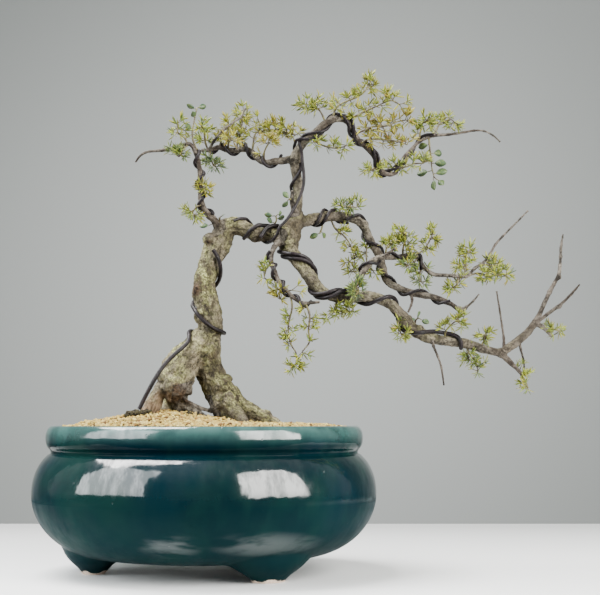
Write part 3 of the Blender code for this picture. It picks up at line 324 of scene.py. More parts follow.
# Bare cream clay under the feet
clay_line = maths("MULTIPLY_ADD", mottle(here, 160, 0.3, 0.7), 0.0022, 0.0010)
bare = between(maths("SUBTRACT", height, clay_line), 0.0004, -0.0004)
clay = blend(mottle(here, 900, 0.4, 0.62), (0.56, 0.43, 0.35), (0.70, 0.58, 0.48))
feed(shader, "Base Color", blend(bare, tone, clay))
# In the crease under the lip and low on the belly the glaze reflects less, a painted shade for the shaded
# table it mirrors there
gloss = maths("ADD", between(height, 0.0925, 0.0890), between(height, 0.1000, 0.1065, 0.03))
gloss = maths("MULTIPLY", between(height, 0.0565, 0.0705, 0.01, 0.90), gloss)
crazed = maths("MULTIPLY_ADD", soft_patches(runs, 85, 0.36, 0.62, 0.7), 0.55, 0.45)
gloss = maths("MULTIPLY", gloss, crazed)
# Two wide streaked patches low on the belly that reflect more again, a painted reflection of window light off
# the table
REFLECTION_PATCH_HEIGHT, REFLECTION_PATCH_RISE = 0.031, 0.0085
wide = add_node(here, "Mapping", {"Vector": here, "Scale": (0.5, 1, 2.2)}).outputs[0]
streaked = soft_patches(wide, 60, 0.36, 0.62, 0.5)
for middle, half in ((-0.0975, 0.021), (-0.0310, 0.034)):
    scale, shift = (1 / half, 0, 1 / REFLECTION_PATCH_RISE), (-middle / half, 0, -REFLECTION_PATCH_HEIGHT / REFLECTION_PATCH_RISE)
    off = add_node(here, "VectorMath", {0: here, 1: scale, 2: shift}, operation="MULTIPLY_ADD").outputs[0]
    span = add_node(off, "VectorMath", {0: off}, operation="LENGTH").outputs["Value"]
    gloss = maths("MULTIPLY_ADD", between(span, 1.3, 0.1, 0.0, 0.72), streaked, gloss)
feed(shader, "Specular IOR Level", gloss)
sheen = maths("MULTIPLY_ADD", mottle(here, 48, 0.40, 0.70), 0.08, 0.085)
sheen = maths("MAXIMUM", sheen, between(height, 0.066, 0.052, 0.0, 0.40, eased=False))
feed(shader, "Roughness", maths("MAXIMUM", sheen, maths("MULTIPLY", bare, 0.85)))
pinholes = between(texture(here, "Voronoi", 130), 0.03, 0.09, -1.0, 0.0)
relief = maths("ADD", texture(here, "Noise", 75, Detail=1.5), maths("MULTIPLY", pinholes, 0.5))
roughen(shader, relief, 0.0005, 0.8)

pot = put("pot_bowl", mesh_from(pot_shape, "pot_bowl"), glaze)
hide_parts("pot")

# The drain mesh. A round piece of black plastic net, cut from a sheet, that lies over the drain hole under
# the soil. Its form is the frame's own, and only its material is made here.
net, shader, here = new_material("net_plastic", Roughness=0.55)
feed(shader, "Base Color", blend(mottle(here, 700), (0.022, 0.022, 0.023), (0.045, 0.044, 0.043)))
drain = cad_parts["drain_mesh"]
for place in drain.material_slots:
    place.material = net

# The wood. Fat swollen legs that meet in a short trunk, and limbs bent by wire into long sweeps. The bark
# is thin, grey and warty, cracked along each limb, tinted with lichen, and browner on young wood. Its colour
# also holds painted light, paler on tops and left sides, and painted shade in the cracks and under the burl.

# A place on the tree is a column and a row in UNITs and a depth in millimetres behind the pot's axis, all as
# the eye sees them. A fourth number is a radius in UNITs. The crown and arms lie twice as deep as numbered.
TRUNK = [
    (208, 338, 0, 13), (209.5, 325, 0, 12.6), (208.5, 311, 0, 12.6), (205.5, 298, 0, 12.6),
    (205, 285, 0, 11.4), (207.5, 270, 1, 11.4), (210.5, 258, 2, 11.2), (215, 248, 3, 12.2), (221, 238, 3, 12),
    (226, 229, 2, 11.4), (235, 226, 1, 9.6), (246, 229, 0, 7.8), (258, 233, 0, 7.0), (270, 234, -1, 6.6),
    (281, 235, -2, 8),
]
LEFT_LEG = [
    (207, 335, 0, 12.5), (198, 348, -2, 14.5), (187, 360, -4, 17), (179, 372, -6, 18), (176, 384, -6, 15.5),
    (178, 396, -3, 11.5), (180, 409, -1, 9.5), (180, 428, -1, 9),
]
RIGHT_LEG = [
    (209, 335, 0, 12.5), (207, 350, 1, 13), (208, 365, 3, 14), (214, 378, 4, 14.5), (220, 390, 4, 15.5),
    (226, 400, 3, 17), (232, 412, 2, 18), (236, 428, 0, 15),
]
RIGHT_ROOT = [(226, 396, 2, 14), (240, 408, 0, 12), (256, 416, -3, 10), (270, 423, -5, 8), (286, 431, -8, 6)]
THIN_ROOT = [(185, 399, -12, 2.2), (194, 404, -12, 2.2), (203, 408, -8, 2.2), (213, 411, -3, 2.2)]
TAN_ROOT = [(165, 386, -8, 6), (159, 395, -11, 7), (154, 405, -13, 8.5), (150, 418, -14, 10)]
LOW_ROOT = [(182, 404, -6, 5), (192, 409, -10, 4), (203, 414, -12, 3), (212, 421, -12, 2)]
BACK_ROOT_LEFT = [(180, 390, 8, 10), (172, 403, 20, 8), (163, 415, 32, 6), (152, 430, 44, 4)]
BACK_ROOT_RIGHT = [(222, 392, 12, 11), (232, 406, 24, 9), (245, 417, 38, 6.5), (257, 432, 50, 4)]
FRONT_ROOT = [(226, 398, -8, 10), (236, 411, -16, 7), (245, 421, -24, 4.5), (252, 432, -30, 3)]
JUNCTION = [(297, 213, 0, 6.6), (293, 223, -2, 10), (288, 235, -3, 12), (289, 248, -6, 9.5)]
RISER = [
    (297, 214, 0, 6.6), (297, 200, 0, 5.6), (298, 188, 0, 5.2), (296.5, 173, -1, 4.8), (294, 162, -2, 4.6),
    (293, 155, -3, 4.6),
]
RISER_STUB = [(296, 212, -3, 3), (292, 202, -6, 2.6), (292.5, 189, -8, 1.8)]
LEFT_ARM = [
    (293, 157, -3, 4.2), (285, 159, -1, 3.9), (275, 159.5, 1, 3.7), (265, 161, 3, 3.5), (258, 157, 5, 3.4),
    (251, 150, 7, 3.3), (244, 147, 8, 3.2), (236, 148, 9, 3.1), (226, 148, 10, 3), (218, 145, 11, 2.8),
    (209, 148, 11, 2.5), (200, 148.5, 10, 2.1),
]
LEFT_RISER = [
    (220, 231, 0, 5), (214, 220, -3, 3.9), (206, 212, -5, 3.4), (201, 202, -6, 3.1), (200, 191, -6, 3),
    (199.5, 176, -6, 2.8), (198, 162, -6, 2.7), (195, 151, -6, 2.6), (189, 142, -6, 2.4),
    (179, 143.5, -5, 2.1), (168, 147, -4, 1.9), (157, 148.5, -3, 1.8), (147, 149.5, -2, 1.7),
    (139, 153.5, -1, 1.5), (134, 161, 0, 1.2),
]
CROWN_LIMB = [
    (293, 157, -3, 4.6), (297, 150, -4, 4.6), (302, 143, -5, 4.4), (310, 135, -6, 4.1), (318, 128, -7, 3.9),
    (325, 121, -8, 3.7), (332, 117, -8, 3.5), (340, 116, -7, 3.3), (348, 119, -6, 3.2), (354, 129, -4, 3),
    (359, 138, -2, 2.9), (366, 144.5, 0, 2.8), (373, 152, 2, 2.7), (378, 161, 4, 2.6), (383, 170, 6, 2.5),
    (390, 173, 8, 2.4), (396, 171, 9, 2.3), (401, 162, 10, 2.2), (406, 154, 11, 2.1), (412, 147.5, 12, 2),
    (419, 140.5, 12, 1.9), (427, 136, 12, 1.8), (436, 133, 12, 1.7), (450, 132, 13, 1.6),
]
UPPER_ARM = [
    (293, 228, -2, 7), (300, 222, 0, 6.2), (311, 218.5, 3, 5.8), (323, 216, 5, 5.4), (335, 215, 6, 5),
    (346, 215.5, 7, 4.8), (356, 218.5, 7, 4.6), (363, 224, 7, 4.4), (368, 234, 7, 4.2), (373, 245, 7, 4.1),
    (379, 254, 7, 4), (382, 265, 6, 4), (384, 274, 6, 3.9), (389, 283, 5, 3.8), (397, 287, 4, 3.7),
    (410, 292, 3, 3.6), (421, 295, 2, 3.5), (432, 296.5, 1, 3.3), (442, 300, 0, 3), (451, 304, -1, 2.8),
    (460, 310, -2, 2.4), (467, 307, -3, 1.9),
]
LOWER_ARM = [
    (289, 247, -6, 8.5), (295, 256, -7, 7.6), (303, 267, -8, 7), (311, 278.5, -10, 6.6), (318, 287, -11, 6.2),
    (326, 293.5, -12, 6), (336, 297, -12, 6), (348, 298, -11, 5.8), (360, 296.5, -10, 5.6),
    (371, 296.5, -9, 5.5), (381, 299.5, -8, 5.5), (391, 305, -7, 5.6), (399, 313, -6, 5.8),
    (408, 323, -5, 6.2), (416, 330.5, -4, 6.3), (426, 336, -3, 6.2), (438, 339.5, -2, 6),
    (452, 341.5, -1, 5.6), (465, 344, 0, 5), (479, 348, 1, 4.5), (491, 351.5, 2, 4.3), (501, 353.5, 3, 4.3),
]
END_FORK = [
    (500, 353, 3, 4.3), (508, 347.5, 4, 4.3), (517, 340.5, 5, 4.2), (526, 333, 6, 4), (534, 322.5, 7, 3.6),
    (540, 312, 8, 2.7), (545, 301, 8, 2.4), (550, 291, 9, 2.3), (554, 284, 10, 2.1), (559, 274, 10, 2),
    (560.5, 262, 11, 1.9), (561.5, 248, 12, 1.7), (564, 233, 12, 1.2),
]
END_PRONG = [
    (533, 324, 7, 3), (540, 319, 6, 2.3), (549, 312.5, 4, 2.1), (558, 306, 2, 2), (564, 301, 0, 1.8),
    (571, 294, -2, 1.6), (580, 284, -4, 1.2),
]
END_SPUR = [(534, 323, 7, 3), (542, 327, 8, 2.4), (547, 332, 9, 2), (551, 337, 10, 1.6)]
END_DROP = [
    (500, 353, 3, 3.8), (506, 359, 2, 3.2), (513, 366, 1, 2.6), (518, 371, 0, 2.2), (521, 376, 0, 1.6),
]
MIDDLE_BRANCH = [
    (350, 297, -12, 4.2), (353, 288, -14, 3.6), (359, 279, -15, 3.4), (365, 269, -15, 3.3),
    (372, 261, -14, 3.2), (381, 257, -13, 3.1), (392, 257, -12, 3), (404, 256, -11, 2.9),
    (412, 253.5, -10, 2.7), (418, 258, -10, 2.5), (425, 268, -10, 2.4), (433, 274, -10, 2.3),
    (445, 275, -10, 2.2), (457, 276, -9, 2.1), (467, 277, -8, 1.9),
]
HANGING_BRANCH = [
    (279, 240, -6, 4), (273, 249, -11, 2.9), (271, 261, -14, 2.6), (275, 272, -16, 2.5), (280, 283, -18, 2.4),
    (287, 291, -19, 2.3), (294, 298, -20, 2.2), (303, 303, -20, 2.1), (312, 302.5, -20, 1.9),
    (320, 302, -20, 1.6),
]
LIMBS = (
    TRUNK, LEFT_LEG, RIGHT_LEG, RIGHT_ROOT, THIN_ROOT, TAN_ROOT, LOW_ROOT, BACK_ROOT_LEFT, BACK_ROOT_RIGHT,
    FRONT_ROOT, JUNCTION, RISER, RISER_STUB, LEFT_ARM, LEFT_RISER, CROWN_LIMB, UPPER_ARM, LOWER_ARM, END_FORK,
    END_PRONG, END_SPUR, END_DROP, MIDDLE_BRANCH, HANGING_BRANCH,
)
KNOTS = (
    (209, 239, -5, 6.5), (256, 233, -2, 8.4), (287, 233, -7, 8), (200, 289, -5, 7), (169, 377, -11, 11),
    (184, 377, -12, 11.5), (176, 387, -16, 12.5), (175, 393, -13, 9.5), (165, 388, -11, 9),
    (187, 388, -10, 6.5), (190.5, 392, -9, 3), (221, 386, -3, 11), (229, 378, -2, 4.5), (210, 350, -4, 10),
    (203, 317, -4, 9), (211, 300, -3, 8.5), (296, 156, -3, 5.4), (417, 331, -4, 7.4), (406, 321, -6, 6.8),
    (500, 353, 3, 5.4), (535, 322, 7, 4.4), (549.5, 292, 9, 3.1), (559, 277, 10, 2.8), (561, 256, 11, 2.5),
    (559, 306.5, 2, 2.7), (383, 270, 6, 4.8), (364, 224, 7, 5.2), (459, 309, -2, 3.2), (383, 171, 6, 3.2),
    (332, 117, -8, 4.2), (209, 262, -3, 8), (220, 403, -5, 10), (240, 408, -3, 9.5), (197, 346, -4, 12),
    (267, 414, -4, 5.5),
)
TWIGS = (
    [(434, 133.5, 12, 1.4), (450, 132, 13, 1.4), (458, 131, 14, 1.3), (467, 129.5, 15, 1.2),
     (476, 128, 16, 1.1), (486, 128.5, 16, 1), (495, 133, 17, 0.9), (502, 139.5, 18, 0.8)],
    [(458, 276, -9, 1.5), (467, 276, -8, 1.6), (475, 268, -6, 1.5), (484, 262, -4, 1.4), (490, 254, -2, 1.3),
     (496, 244, 0, 1.2), (503, 236, 2, 1.1), (512, 227, 4, 1), (521, 218, 6, 0.9), (529, 210, 8, 0.8)],
    [(410, 292, 3, 1.8), (412, 299, 1, 1.4), (411, 305, 0, 1.2), (408, 312, -1, 0.9)],
    [(431, 337, -3, 1.8), (433, 346, -6, 1.4), (437, 356, -8, 1.2), (440.5, 367, -9, 1.1),
     (443, 385, -10, 0.8)],
    [(503, 350, 4, 2), (503, 338, 6, 1.2), (501.5, 326, 7, 1), (499.5, 311, 8, 0.9), (496.5, 291, 8, 0.8)],
    [(518, 339, 5, 1.8), (520, 350, 6, 1.1), (522.5, 360, 6, 0.9), (523, 368, 7, 0.8)],
    [(459, 309, -2, 1.5), (466, 307, -3, 1.4), (473, 301, -5, 1.1), (479, 294, -6, 0.8)],
    [(382, 257, -13, 2), (389, 252.5, -15, 1.5), (395, 248, -17, 1)],
    [(208, 148, 11, 2), (213, 139, 7, 1.3), (222, 128, 4, 1.2), (232, 120, 3, 1.1), (240, 114, 3, 1),
     (245, 105, 3, 0.8)],
)


def stretch(column, row, depth):
    """How much larger than at the pot's axis a thing at a depth has to be to look the same."""
    in_crown = row < 215 or (column > 255 and row < 400)
    return 1 + depth * (2.0 if in_crown else 1.0) * 0.001 / EYE_DISTANCE


def at(column, row, depth=0.0):
    flat = Vector((POT_X + (column - POT_COLUMN) * UNIT, 0.0, (TABLE_ROW - row) * UNIT))
    return eye + (flat - eye) * stretch(column, row, depth)


def placed(route):
    """A limb's route as points and real radii."""
    return [(at(c, r, d), size * UNIT * stretch(c, r, d)) for c, r, d, size in route]


def smooth(points, steps):
    """Points and radii along a Catmull-Rom curve through the given ones."""
    ends = [points[0]] + list(points) + [points[-1]]
    result = []
    for a, b, c, d in zip(ends, ends[1:], ends[2:], ends[3:]):
        for step in range(steps):
            t = step / steps
            place = 0.5 * (2 * b[0] + (c[0] - a[0]) * t + (2 * a[0] - 5 * b[0] + 4 * c[0] - d[0]) * t**2
                           + (3 * b[0] - a[0] - 3 * c[0] + d[0]) * t**3)
            result.append((place, b[1] + (c[1] - b[1]) * t))
    result.append(points[-1])
    return result


def clamped(value):
    return min(1, max(0, value))


def evaluated_mesh(thing):
    bpy.context.view_layer.update()
    return bpy.data.meshes.new_from_object(thing.evaluated_get(bpy.context.evaluated_depsgraph_get()))


def tube(points, resolution):
    """A closed round tube along points that carry their own radii."""
    curve = bpy.data.curves.new("tube", "CURVE")
    curve.dimensions = "3D"
    curve.bevel_depth = 1.0
    curve.bevel_resolution = resolution
    curve.use_fill_caps = True
    spline = curve.splines.new("POLY")
    spline.points.add(len(points) - 1)
    for knot, (place, radius) in zip(spline.points, points):
        knot.co = (*place, 1)
        knot.radius = radius
    guide = in_scene("tube", curve)
    mesh = evaluated_mesh(guide)
    bpy.data.objects.remove(guide)
    bpy.data.curves.remove(curve)
    shaped = bmesh.new()
    shaped.from_mesh(mesh)
    bpy.data.meshes.remove(mesh)
    bmesh.ops.remove_doubles(shaped, verts=shaped.verts, dist=0.000005)
    bmesh.ops.recalc_face_normals(shaped, faces=shaped.faces)
    return shaped


def take_in(shaped, other):
    """Adds one bmesh to another and frees the one that was added."""
    mesh = mesh_from(other, "part")
    shaped.from_mesh(mesh)
    bpy.data.meshes.remove(mesh)


VOXEL = 0.00089
rough = bmesh.new()
for limb in LIMBS:
    take_in(rough, tube(smooth(placed(limb), 4), 4))
for column, row, depth, radius in KNOTS:
    made = bmesh.ops.create_uvsphere(rough, u_segments=18, v_segments=12, radius=radius * UNIT)
    bmesh.ops.translate(rough, verts=made["verts"], vec=at(column, row, depth))
core = in_scene("core", mesh_from(rough, "core"))
join = core.modifiers.new("join", "REMESH")
join.mode = "VOXEL"
join.voxel_size = VOXEL
ease = core.modifiers.new("ease", "SMOOTH")
ease.factor = 0.5
ease.iterations = 3
wood_mesh = evaluated_mesh(core)
bpy.data.objects.remove(core)

# Each point of the bark knows its limb: the place along and around it, and how thick the limb is
samples = []
for number, limb in enumerate(LIMBS):
    way = smooth(placed(limb), 6)
    length = 0.0
    side = Vector((0, -1, 0))
    for (place, radius), (ahead, _) in zip(way, way[1:]):
        axis = (ahead - place).normalized()
        side = (side - axis * side.dot(axis)).normalized()
        samples.append((place, radius, axis, side, length, number))
        length += (ahead - place).length
nearest_limb = KDTree(len(samples))
for index, sample in enumerate(samples):
    nearest_limb.insert(sample[0], index)
nearest_limb.balance()

# Bark scars. The last three, on and under the burl, are dark brown partly as painted shade under the burl
SCARS_AND_BURL_SHADE = (
    (at(195, 289, -8), 0.0085, 1.0), (at(256, 233, -9), 0.0055, 0.8), (at(207, 244, -10), 0.0042, 1.0),
    (at(177, 390, -28), 0.0085, 0.8), (at(168, 400, -20), 0.0080, 0.9), (at(182, 400, -18), 0.0095, 1.0),
)
# Shifted places in one noise field, one for each direction of a bend
BEND_SHIFTS = (Vector((0, 0, 0)), Vector((9.3, 5.7, 1.1)), Vector((3.9, 17.2, 8.4)))
bark_shape = bmesh.new()
bark_shape.from_mesh(wood_mesh)
bark_shape.normal_update()
run = bark_shape.verts.layers.float_vector.new("bark_run")
marks_and_light = bark_shape.verts.layers.float_color.new("bark_marks_and_light")
bare = bark_shape.verts.layers.float.new("bare_wood")
moved = []
for vert in bark_shape.verts:
    near = min(nearest_limb.find_n(vert.co, 4), key=lambda found: found[2] / samples[found[1]][1])
    centre, radius, axis, side, length, number = samples[near[1]]
    off = vert.co - centre
    along = length + off.dot(axis)
    run_place = Vector((off.dot(side), off.dot(axis.cross(side)), along * 0.22 + number * 0.37))
    age = clamped((radius / UNIT - 2.5) / 6)
    # Warts and swellings, then cracks that run along the limb
    swell = 0.75 * noise.noise(vert.co * 115) + 0.55 * noise.noise(vert.co * 270)
    bend = [noise.noise(vert.co * 160 + shift) for shift in BEND_SHIFTS]
    bent = run_place + Vector(bend) * 0.0022
    crack = max(0, 1 - abs(noise.noise(bent * 210)) * 5.0) ** 2
    crack *= clamped(0.5 + 1.6 * noise.noise(vert.co * 90))
    fine = noise.noise(vert.co * 620) + 0.6 * noise.noise(vert.co * 1150)
    fluted = noise.noise(run_place * 140) * 0.0017 * age
    rise = (swell * (0.0003 + 0.0011 * age) - crack * (0.0002 + 0.0008 * age)
            + fine * (0.00012 + 0.00022 * age) + fluted)
    wander = 1 + 0.45 * noise.noise(vert.co * 190)
    worn_and_shaded = [depth * min(1, 1.7 * (1.1 - (vert.co - spot).length * wander / size))
            for spot, size, depth in SCARS_AND_BURL_SHADE]
    scar_and_shade = max(0, *worn_and_shaded)
    # Lichen in patches, plus painted light: tops and left sides, where the light falls, get more of the pale
    # tint
    lichen_and_painted_light = clamped(0.35 + 1.2 * noise.noise(vert.co * 60) + 0.6 * vert.normal.z - 0.35 * vert.normal.x)
    moved.append((vert, vert.normal * (rise - scar_and_shade * 0.0005)))
    vert[run] = run_place
    vert[marks_and_light] = (scar_and_shade, lichen_and_painted_light * age, 1 - age, crack)
    low = (0.143 - vert.co.z) / 0.010 + noise.noise(vert.co * 200)
    vert[bare] = clamped(low) if LIMBS[number] is TAN_ROOT else 0.0
for vert, shift in moved:
    vert.co += shift
rng = random.Random("twigs")
for twig in TWIGS:
    way = smooth(placed(twig), 5)
    knobbly = [(place, radius * (1.0 + 0.25 * (index % 5 == 0) + rng.uniform(-0.06, 0.06)))
               for index, (place, radius) in enumerate(way)]
    piece = tube(knobbly, 2)
    run_layer = piece.verts.layers.float_vector.new("bark_run")
    marks_and_light_layer = piece.verts.layers.float_color.new("bark_marks_and_light")
    for vert in piece.verts:
        vert[run_layer] = vert.co * 0.8
        vert[marks_and_light_layer] = (0, 0, 1, 0)
    take_in(bark_shape, piece)

bark, shader, here = new_material("grey_bark", Roughness=0.86, Specular_IOR_Level=0.25)
run_place = add_node(here, "Attribute", attribute_name="bark_run").outputs["Vector"]
marked = add_node(here, "Attribute", attribute_name="bark_marks_and_light").outputs
parts = add_node(here, "SeparateColor", {0: marked["Color"]}).outputs
streaks = mottle(here, 120, 0.38, 0.60, 0.75)
tone = blend(streaks, (0.036, 0.030, 0.019), (0.250, 0.212, 0.140))
tone = blend(mottle(here, 900, 0.42, 0.62, 0.7), tone, (0.070, 0.058, 0.036), 0.35)
tone = blend(mottle(here, 30, 0.48, 0.60, 0.4), tone, (0.055, 0.042, 0.024), 0.75)
# Pale lichen, partly painted light on the tops and left sides of the limbs
lichen_and_painted_light = maths("MULTIPLY", parts["Green"], mottle(here, 170, 0.38, 0.56, 0.7))
lichen_and_lit_tone = blend(mottle(here, 700), (0.135, 0.142, 0.044), (0.47, 0.455, 0.195))
tone = blend(lichen_and_painted_light, tone, lichen_and_lit_tone, 0.8)
# Long furrows drawn out along the limb
tone = blend(mottle(run_place, 420, 0.47, 0.60, 0.65), tone, (0.046, 0.040, 0.021), 0.55)
young_tone = blend(streaks, (0.015, 0.0125, 0.010), (0.172, 0.150, 0.122))
young_tone = blend(mottle(here, 34), young_tone, (0.066, 0.046, 0.036), 0.5)
tone = blend(parts["Blue"], tone, young_tone)
# Dark specks where dirt and old lichen sit in the cracks
tone = blend(mottle(here, 380, 0.53, 0.61, 0.75), tone, (0.020, 0.015, 0.010), 0.75)
# The cracks darkened nearly to black, partly painted shade in the grooves
tone = blend(maths("MULTIPLY", marked["Alpha"], 0.85, clamp=True), tone, (0.018, 0.013, 0.009))
# Scars in dark brown, with painted shade under the burl
scar_and_shade_tone = blend(mottle(here, 420), (0.020, 0.012, 0.007), (0.082, 0.052, 0.031))
tone = blend(parts["Red"], tone, scar_and_shade_tone)
tan = blend(mottle(run_place, 500), (0.085, 0.055, 0.030), (0.20, 0.140, 0.085))
peeled = add_node(here, "Attribute", attribute_name="bare_wood").outputs["Fac"]
feed(shader, "Base Color", blend(peeled, tone, tan))
ridge = texture(run_place, "Noise", 620, Detail=5.0, Roughness=0.62)
warts = maths("MULTIPLY", texture(here, "Voronoi", 400), 0.35)
roughen(shader, maths("SUBTRACT", ridge, warts), 0.0019, 1.0)

wood_mesh = mesh_from(bark_shape, "wood")
wood = put("trunk_and_limbs", wood_mesh, bark)
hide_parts("tree")

# The training wires. Soft aluminium wire, anodised dark brown, wound by hand round the limbs to hold
# their bends: one thick wire up the trunk, pairs on the crown and on both right arms, and single ones on the
# thinner branches.
THIN_WIRE = 0.00125
THICK_WIRE = 0.00165
LIFT, SPACING, EASINGS = 0.0006, 0.0020, 14
TRUNK_WIRE = (
    (139, 412, -26), (144, 401, -26), (149, 391, -27), (155, 380, -27), (163, 367, -24), (172, 357, -21),
    (182, 348, -18), (192, 340, -11), (195, 334, 2), (203, 330, 13), (214, 330, 13), (223, 333, 3),
    (222, 332, -6), (213, 328, -12), (204, 321, -13), (196, 312, -9), (193, 304, 1), (200, 296, 12),
    (212, 289, 12), (219, 281, 3), (221, 272, -5), (220, 262, -9), (216, 253, -11), (209, 245, -11),
)
CROWN_WIRE_LEAD = (
    (274, 240, -8), (282, 226, -8.5), (291, 213, -8), (298, 200, -5.5), (303, 188, -5), (304.5, 176, -5),
    (303, 166, -5.5), (302, 156, -6),
)
LOWER_ARM_WIRE_END = (
    (434, 332, -3), (441, 332.6, -2), (449, 333.8, -2), (455, 335.5, -1.8), (459.5, 339, -3.2),
    (461, 344, -3.6), (460.5, 348.5, -2.4), (459, 350.8, -0.3),
)


def wound(limb, first, last, turns, angle, radius):
    """A coil round a limb between two shares of its length, at the bark's radius plus the wire's."""
    way = smooth(placed(limb), 8)
    lengths = [0.0]
    for (a, _), (b, _) in zip(way, way[1:]):
        lengths.append(lengths[-1] + (b - a).length)
    count = round(abs(turns) * 24)
    side = Vector((0, -1, 0))
    points = []
    index = 0
    for step in range(count + 1):
        gone = (first + (last - first) * step / count) * lengths[-1]
        while index < len(way) - 2 and lengths[index + 1] < gone:
            index += 1
        t = (gone - lengths[index]) / (lengths[index + 1] - lengths[index])
        (place, own), (ahead, other) = way[index:index + 2]
        centre = place.lerp(ahead, t)
        bark_radius = own + (other - own) * t
        along = (ahead - place).normalized()
        side = (side - along * side.dot(along)).normalized()
        turn = Matrix.Rotation(math.radians(angle) + 2 * math.pi * turns * step / count, 3, along)
        points.append(centre + turn @ side * (bark_radius + radius + LIFT))
    return points


def search_of(mesh):
    shaped = bmesh.new()
    shaped.from_mesh(mesh)
    found = BVHTree.FromBMesh(shaped)
    shaped.free()
    return found


def clear_of(points, searches, distance):
    """Pushes points outward until they keep a distance from every surface."""
    for index, point in enumerate(points):
        for search in searches:
            near, normal, _, span = search.find_nearest(point, distance * 2.5)
            if near is None:
                continue
            away = point - near
            if away.dot(normal) < 0:
                point = near + normal * distance
            elif span < distance:
                point = near + (away.normalized() if span > 0 else normal) * distance
        points[index] = point
    return points


def even(points, spacing):
    """The same way with points every spacing along it."""
    result = [points[0]]
    left = spacing
    for a, b in zip(points, points[1:]):
        length = (b - a).length
        done = 0.0
        while length - done >= left:
            done += left
            result.append(a.lerp(b, done / length))
            left = spacing
        left -= length - done
    return result


wire_coat, shader, here = new_material("dark_anodised_wire", Metallic=0.1, Specular_IOR_Level=0.25)
tone = blend(mottle(here, 260, 0.35, 0.65), (0.0042, 0.0031, 0.0036), (0.015, 0.010, 0.0115))
feed(shader, "Base Color", blend(mottle(here, 900, 0.6, 0.7), tone, (0.085, 0.068, 0.064), 0.5))
feed(shader, "Roughness", maths("MULTIPLY_ADD", mottle(here, 500), 0.2, 0.38))
roughen(shader, texture(here, "Noise", 1400, Detail=3.0), 0.0001, 0.6)


def free_way(places, steps):
    return [place for place, _ in smooth([(at(*spot), 0) for spot in places], steps)]


lead = free_way(CROWN_WIRE_LEAD, 2)
arm_end = free_way(LOWER_ARM_WIRE_END, 3)
through_junction = TRUNK[9:] + LOWER_ARM
WIRES = (
    ("wire_trunk", free_way(TRUNK_WIRE, 3), THICK_WIRE),
    ("wire_lower_arm", wound(through_junction, 0.06, 0.74, -4.29, 83, THICK_WIRE) + arm_end, THICK_WIRE),
    ("wire_lower_arm_second", wound(through_junction, 0.10, 0.56, -2.9, 31, THICK_WIRE), THICK_WIRE),
    ("wire_crown", wound(TRUNK, 0.71, 0.93, -0.75, 349, THIN_WIRE) + lead
     + wound(CROWN_LIMB, 0.09, 0.95, 4.3, 256, THIN_WIRE), THIN_WIRE),
    ("wire_crown_second", wound(RISER[1:-1] + CROWN_LIMB, 0.02, 0.82, 4.77, 210, THIN_WIRE), THIN_WIRE),
    ("wire_left_arm", wound(LEFT_ARM, 0.1, 0.93, 3.8, 40, THIN_WIRE), THIN_WIRE),
    ("wire_left_riser", wound(LEFT_RISER, 0.12, 0.6, 3.6, 10, THIN_WIRE), THIN_WIRE),
    ("wire_upper_arm", wound(UPPER_ARM, 0.1, 0.93, -5.4, 93, THIN_WIRE), THIN_WIRE),
    ("wire_upper_arm_second", wound(UPPER_ARM, 0.06, 0.3, -1.57, 283, THIN_WIRE), THIN_WIRE),
    ("wire_middle_branch", wound(MIDDLE_BRANCH, 0.1, 0.72, 3.2, 60, THIN_WIRE), THIN_WIRE),
    ("wire_hanging_branch", wound(HANGING_BRANCH, 0.2, 0.95, 3.8, 0, THIN_WIRE), THIN_WIRE),
)
searches = [search_of(wood_mesh)]
for name, route, radius in WIRES:
    laid = even(route, SPACING)
    for _ in range(EASINGS):
        neighbours = zip(laid, laid[:1] + laid, laid[1:] + laid[-1:])
        eased = [a.lerp((b + c) / 2, 0.4) for a, b, c in neighbours]
        laid = clear_of(eased, searches, radius + 0.0001)
    path = smooth([(point, radius) for point in laid], 2)
    coil_mesh = mesh_from(tube(path, 3), name)
    searches.append(search_of(coil_mesh))
    coil = put("coiled_" + name, coil_mesh, wire_coat)
    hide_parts(name)

# The soil. A gritty bonsai mix: a bed of fine crumb under a heaped layer of angular pale grains, with a
# few brown ones, and dark mossy lumps where the trunk wire is pushed in.
MOUND_X, MOUND_Y, MOUND_HEIGHT, MOUND_SPREAD = POT_X - 0.030, -0.004, 0.0105, 0.052
SOIL_RADIUS = 0.1140


def soil_height(x, y):
    heap = MOUND_HEIGHT * math.exp(-(math.hypot(x - MOUND_X, y - MOUND_Y) / MOUND_SPREAD) ** 2)
    edge = clamped((SOIL_RADIUS - math.hypot(x - POT_X, y)) / 0.02)
    relief = 0.0016 * noise.noise(Vector((x, y, 0.3)) * 60)
    return RIM_TOP - 0.0022 + (heap + relief + 0.0025) * edge


bed_outline = [(0.0, RIM_TOP)] + [(0.004 * step, RIM_TOP) for step in range(1, 29)]
bed_outline += [(0.1150, RIM_TOP - 0.006), (0.1150, 0.0965), (0.1180, 0.0890), (0.1270, 0.0700),
                (0.1275, 0.0600), (0.1150, 0.0390), (0.0800, 0.0225), (0.0150, 0.0225), (0.0, 0.0240)]
bed_shape = turned(bed_outline, 120, closed=False)
bmesh.ops.translate(bed_shape, verts=bed_shape.verts, vec=(POT_X, 0, 0))
for vert in bed_shape.verts:
    if vert.co.z > RIM_TOP - 0.001:
        vert.co.z = soil_height(vert.co.x, vert.co.y) - 0.0014
crumb, shader, here = new_material("soil_crumb", Roughness=0.95, Specular_IOR_Level=0.2)
crumb_mask = mottle(here, 600, 0.35, 0.65, 0.7)
feed(shader, "Base Color", blend(crumb_mask, (0.055, 0.034, 0.016), (0.20, 0.14, 0.065)))
roughen(shader, texture(here, "Voronoi", 480), 0.0012, 1.0)
bed = put("soil_bed", mesh_from(bed_shape, "soil_bed"), crumb)
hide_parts("soil")


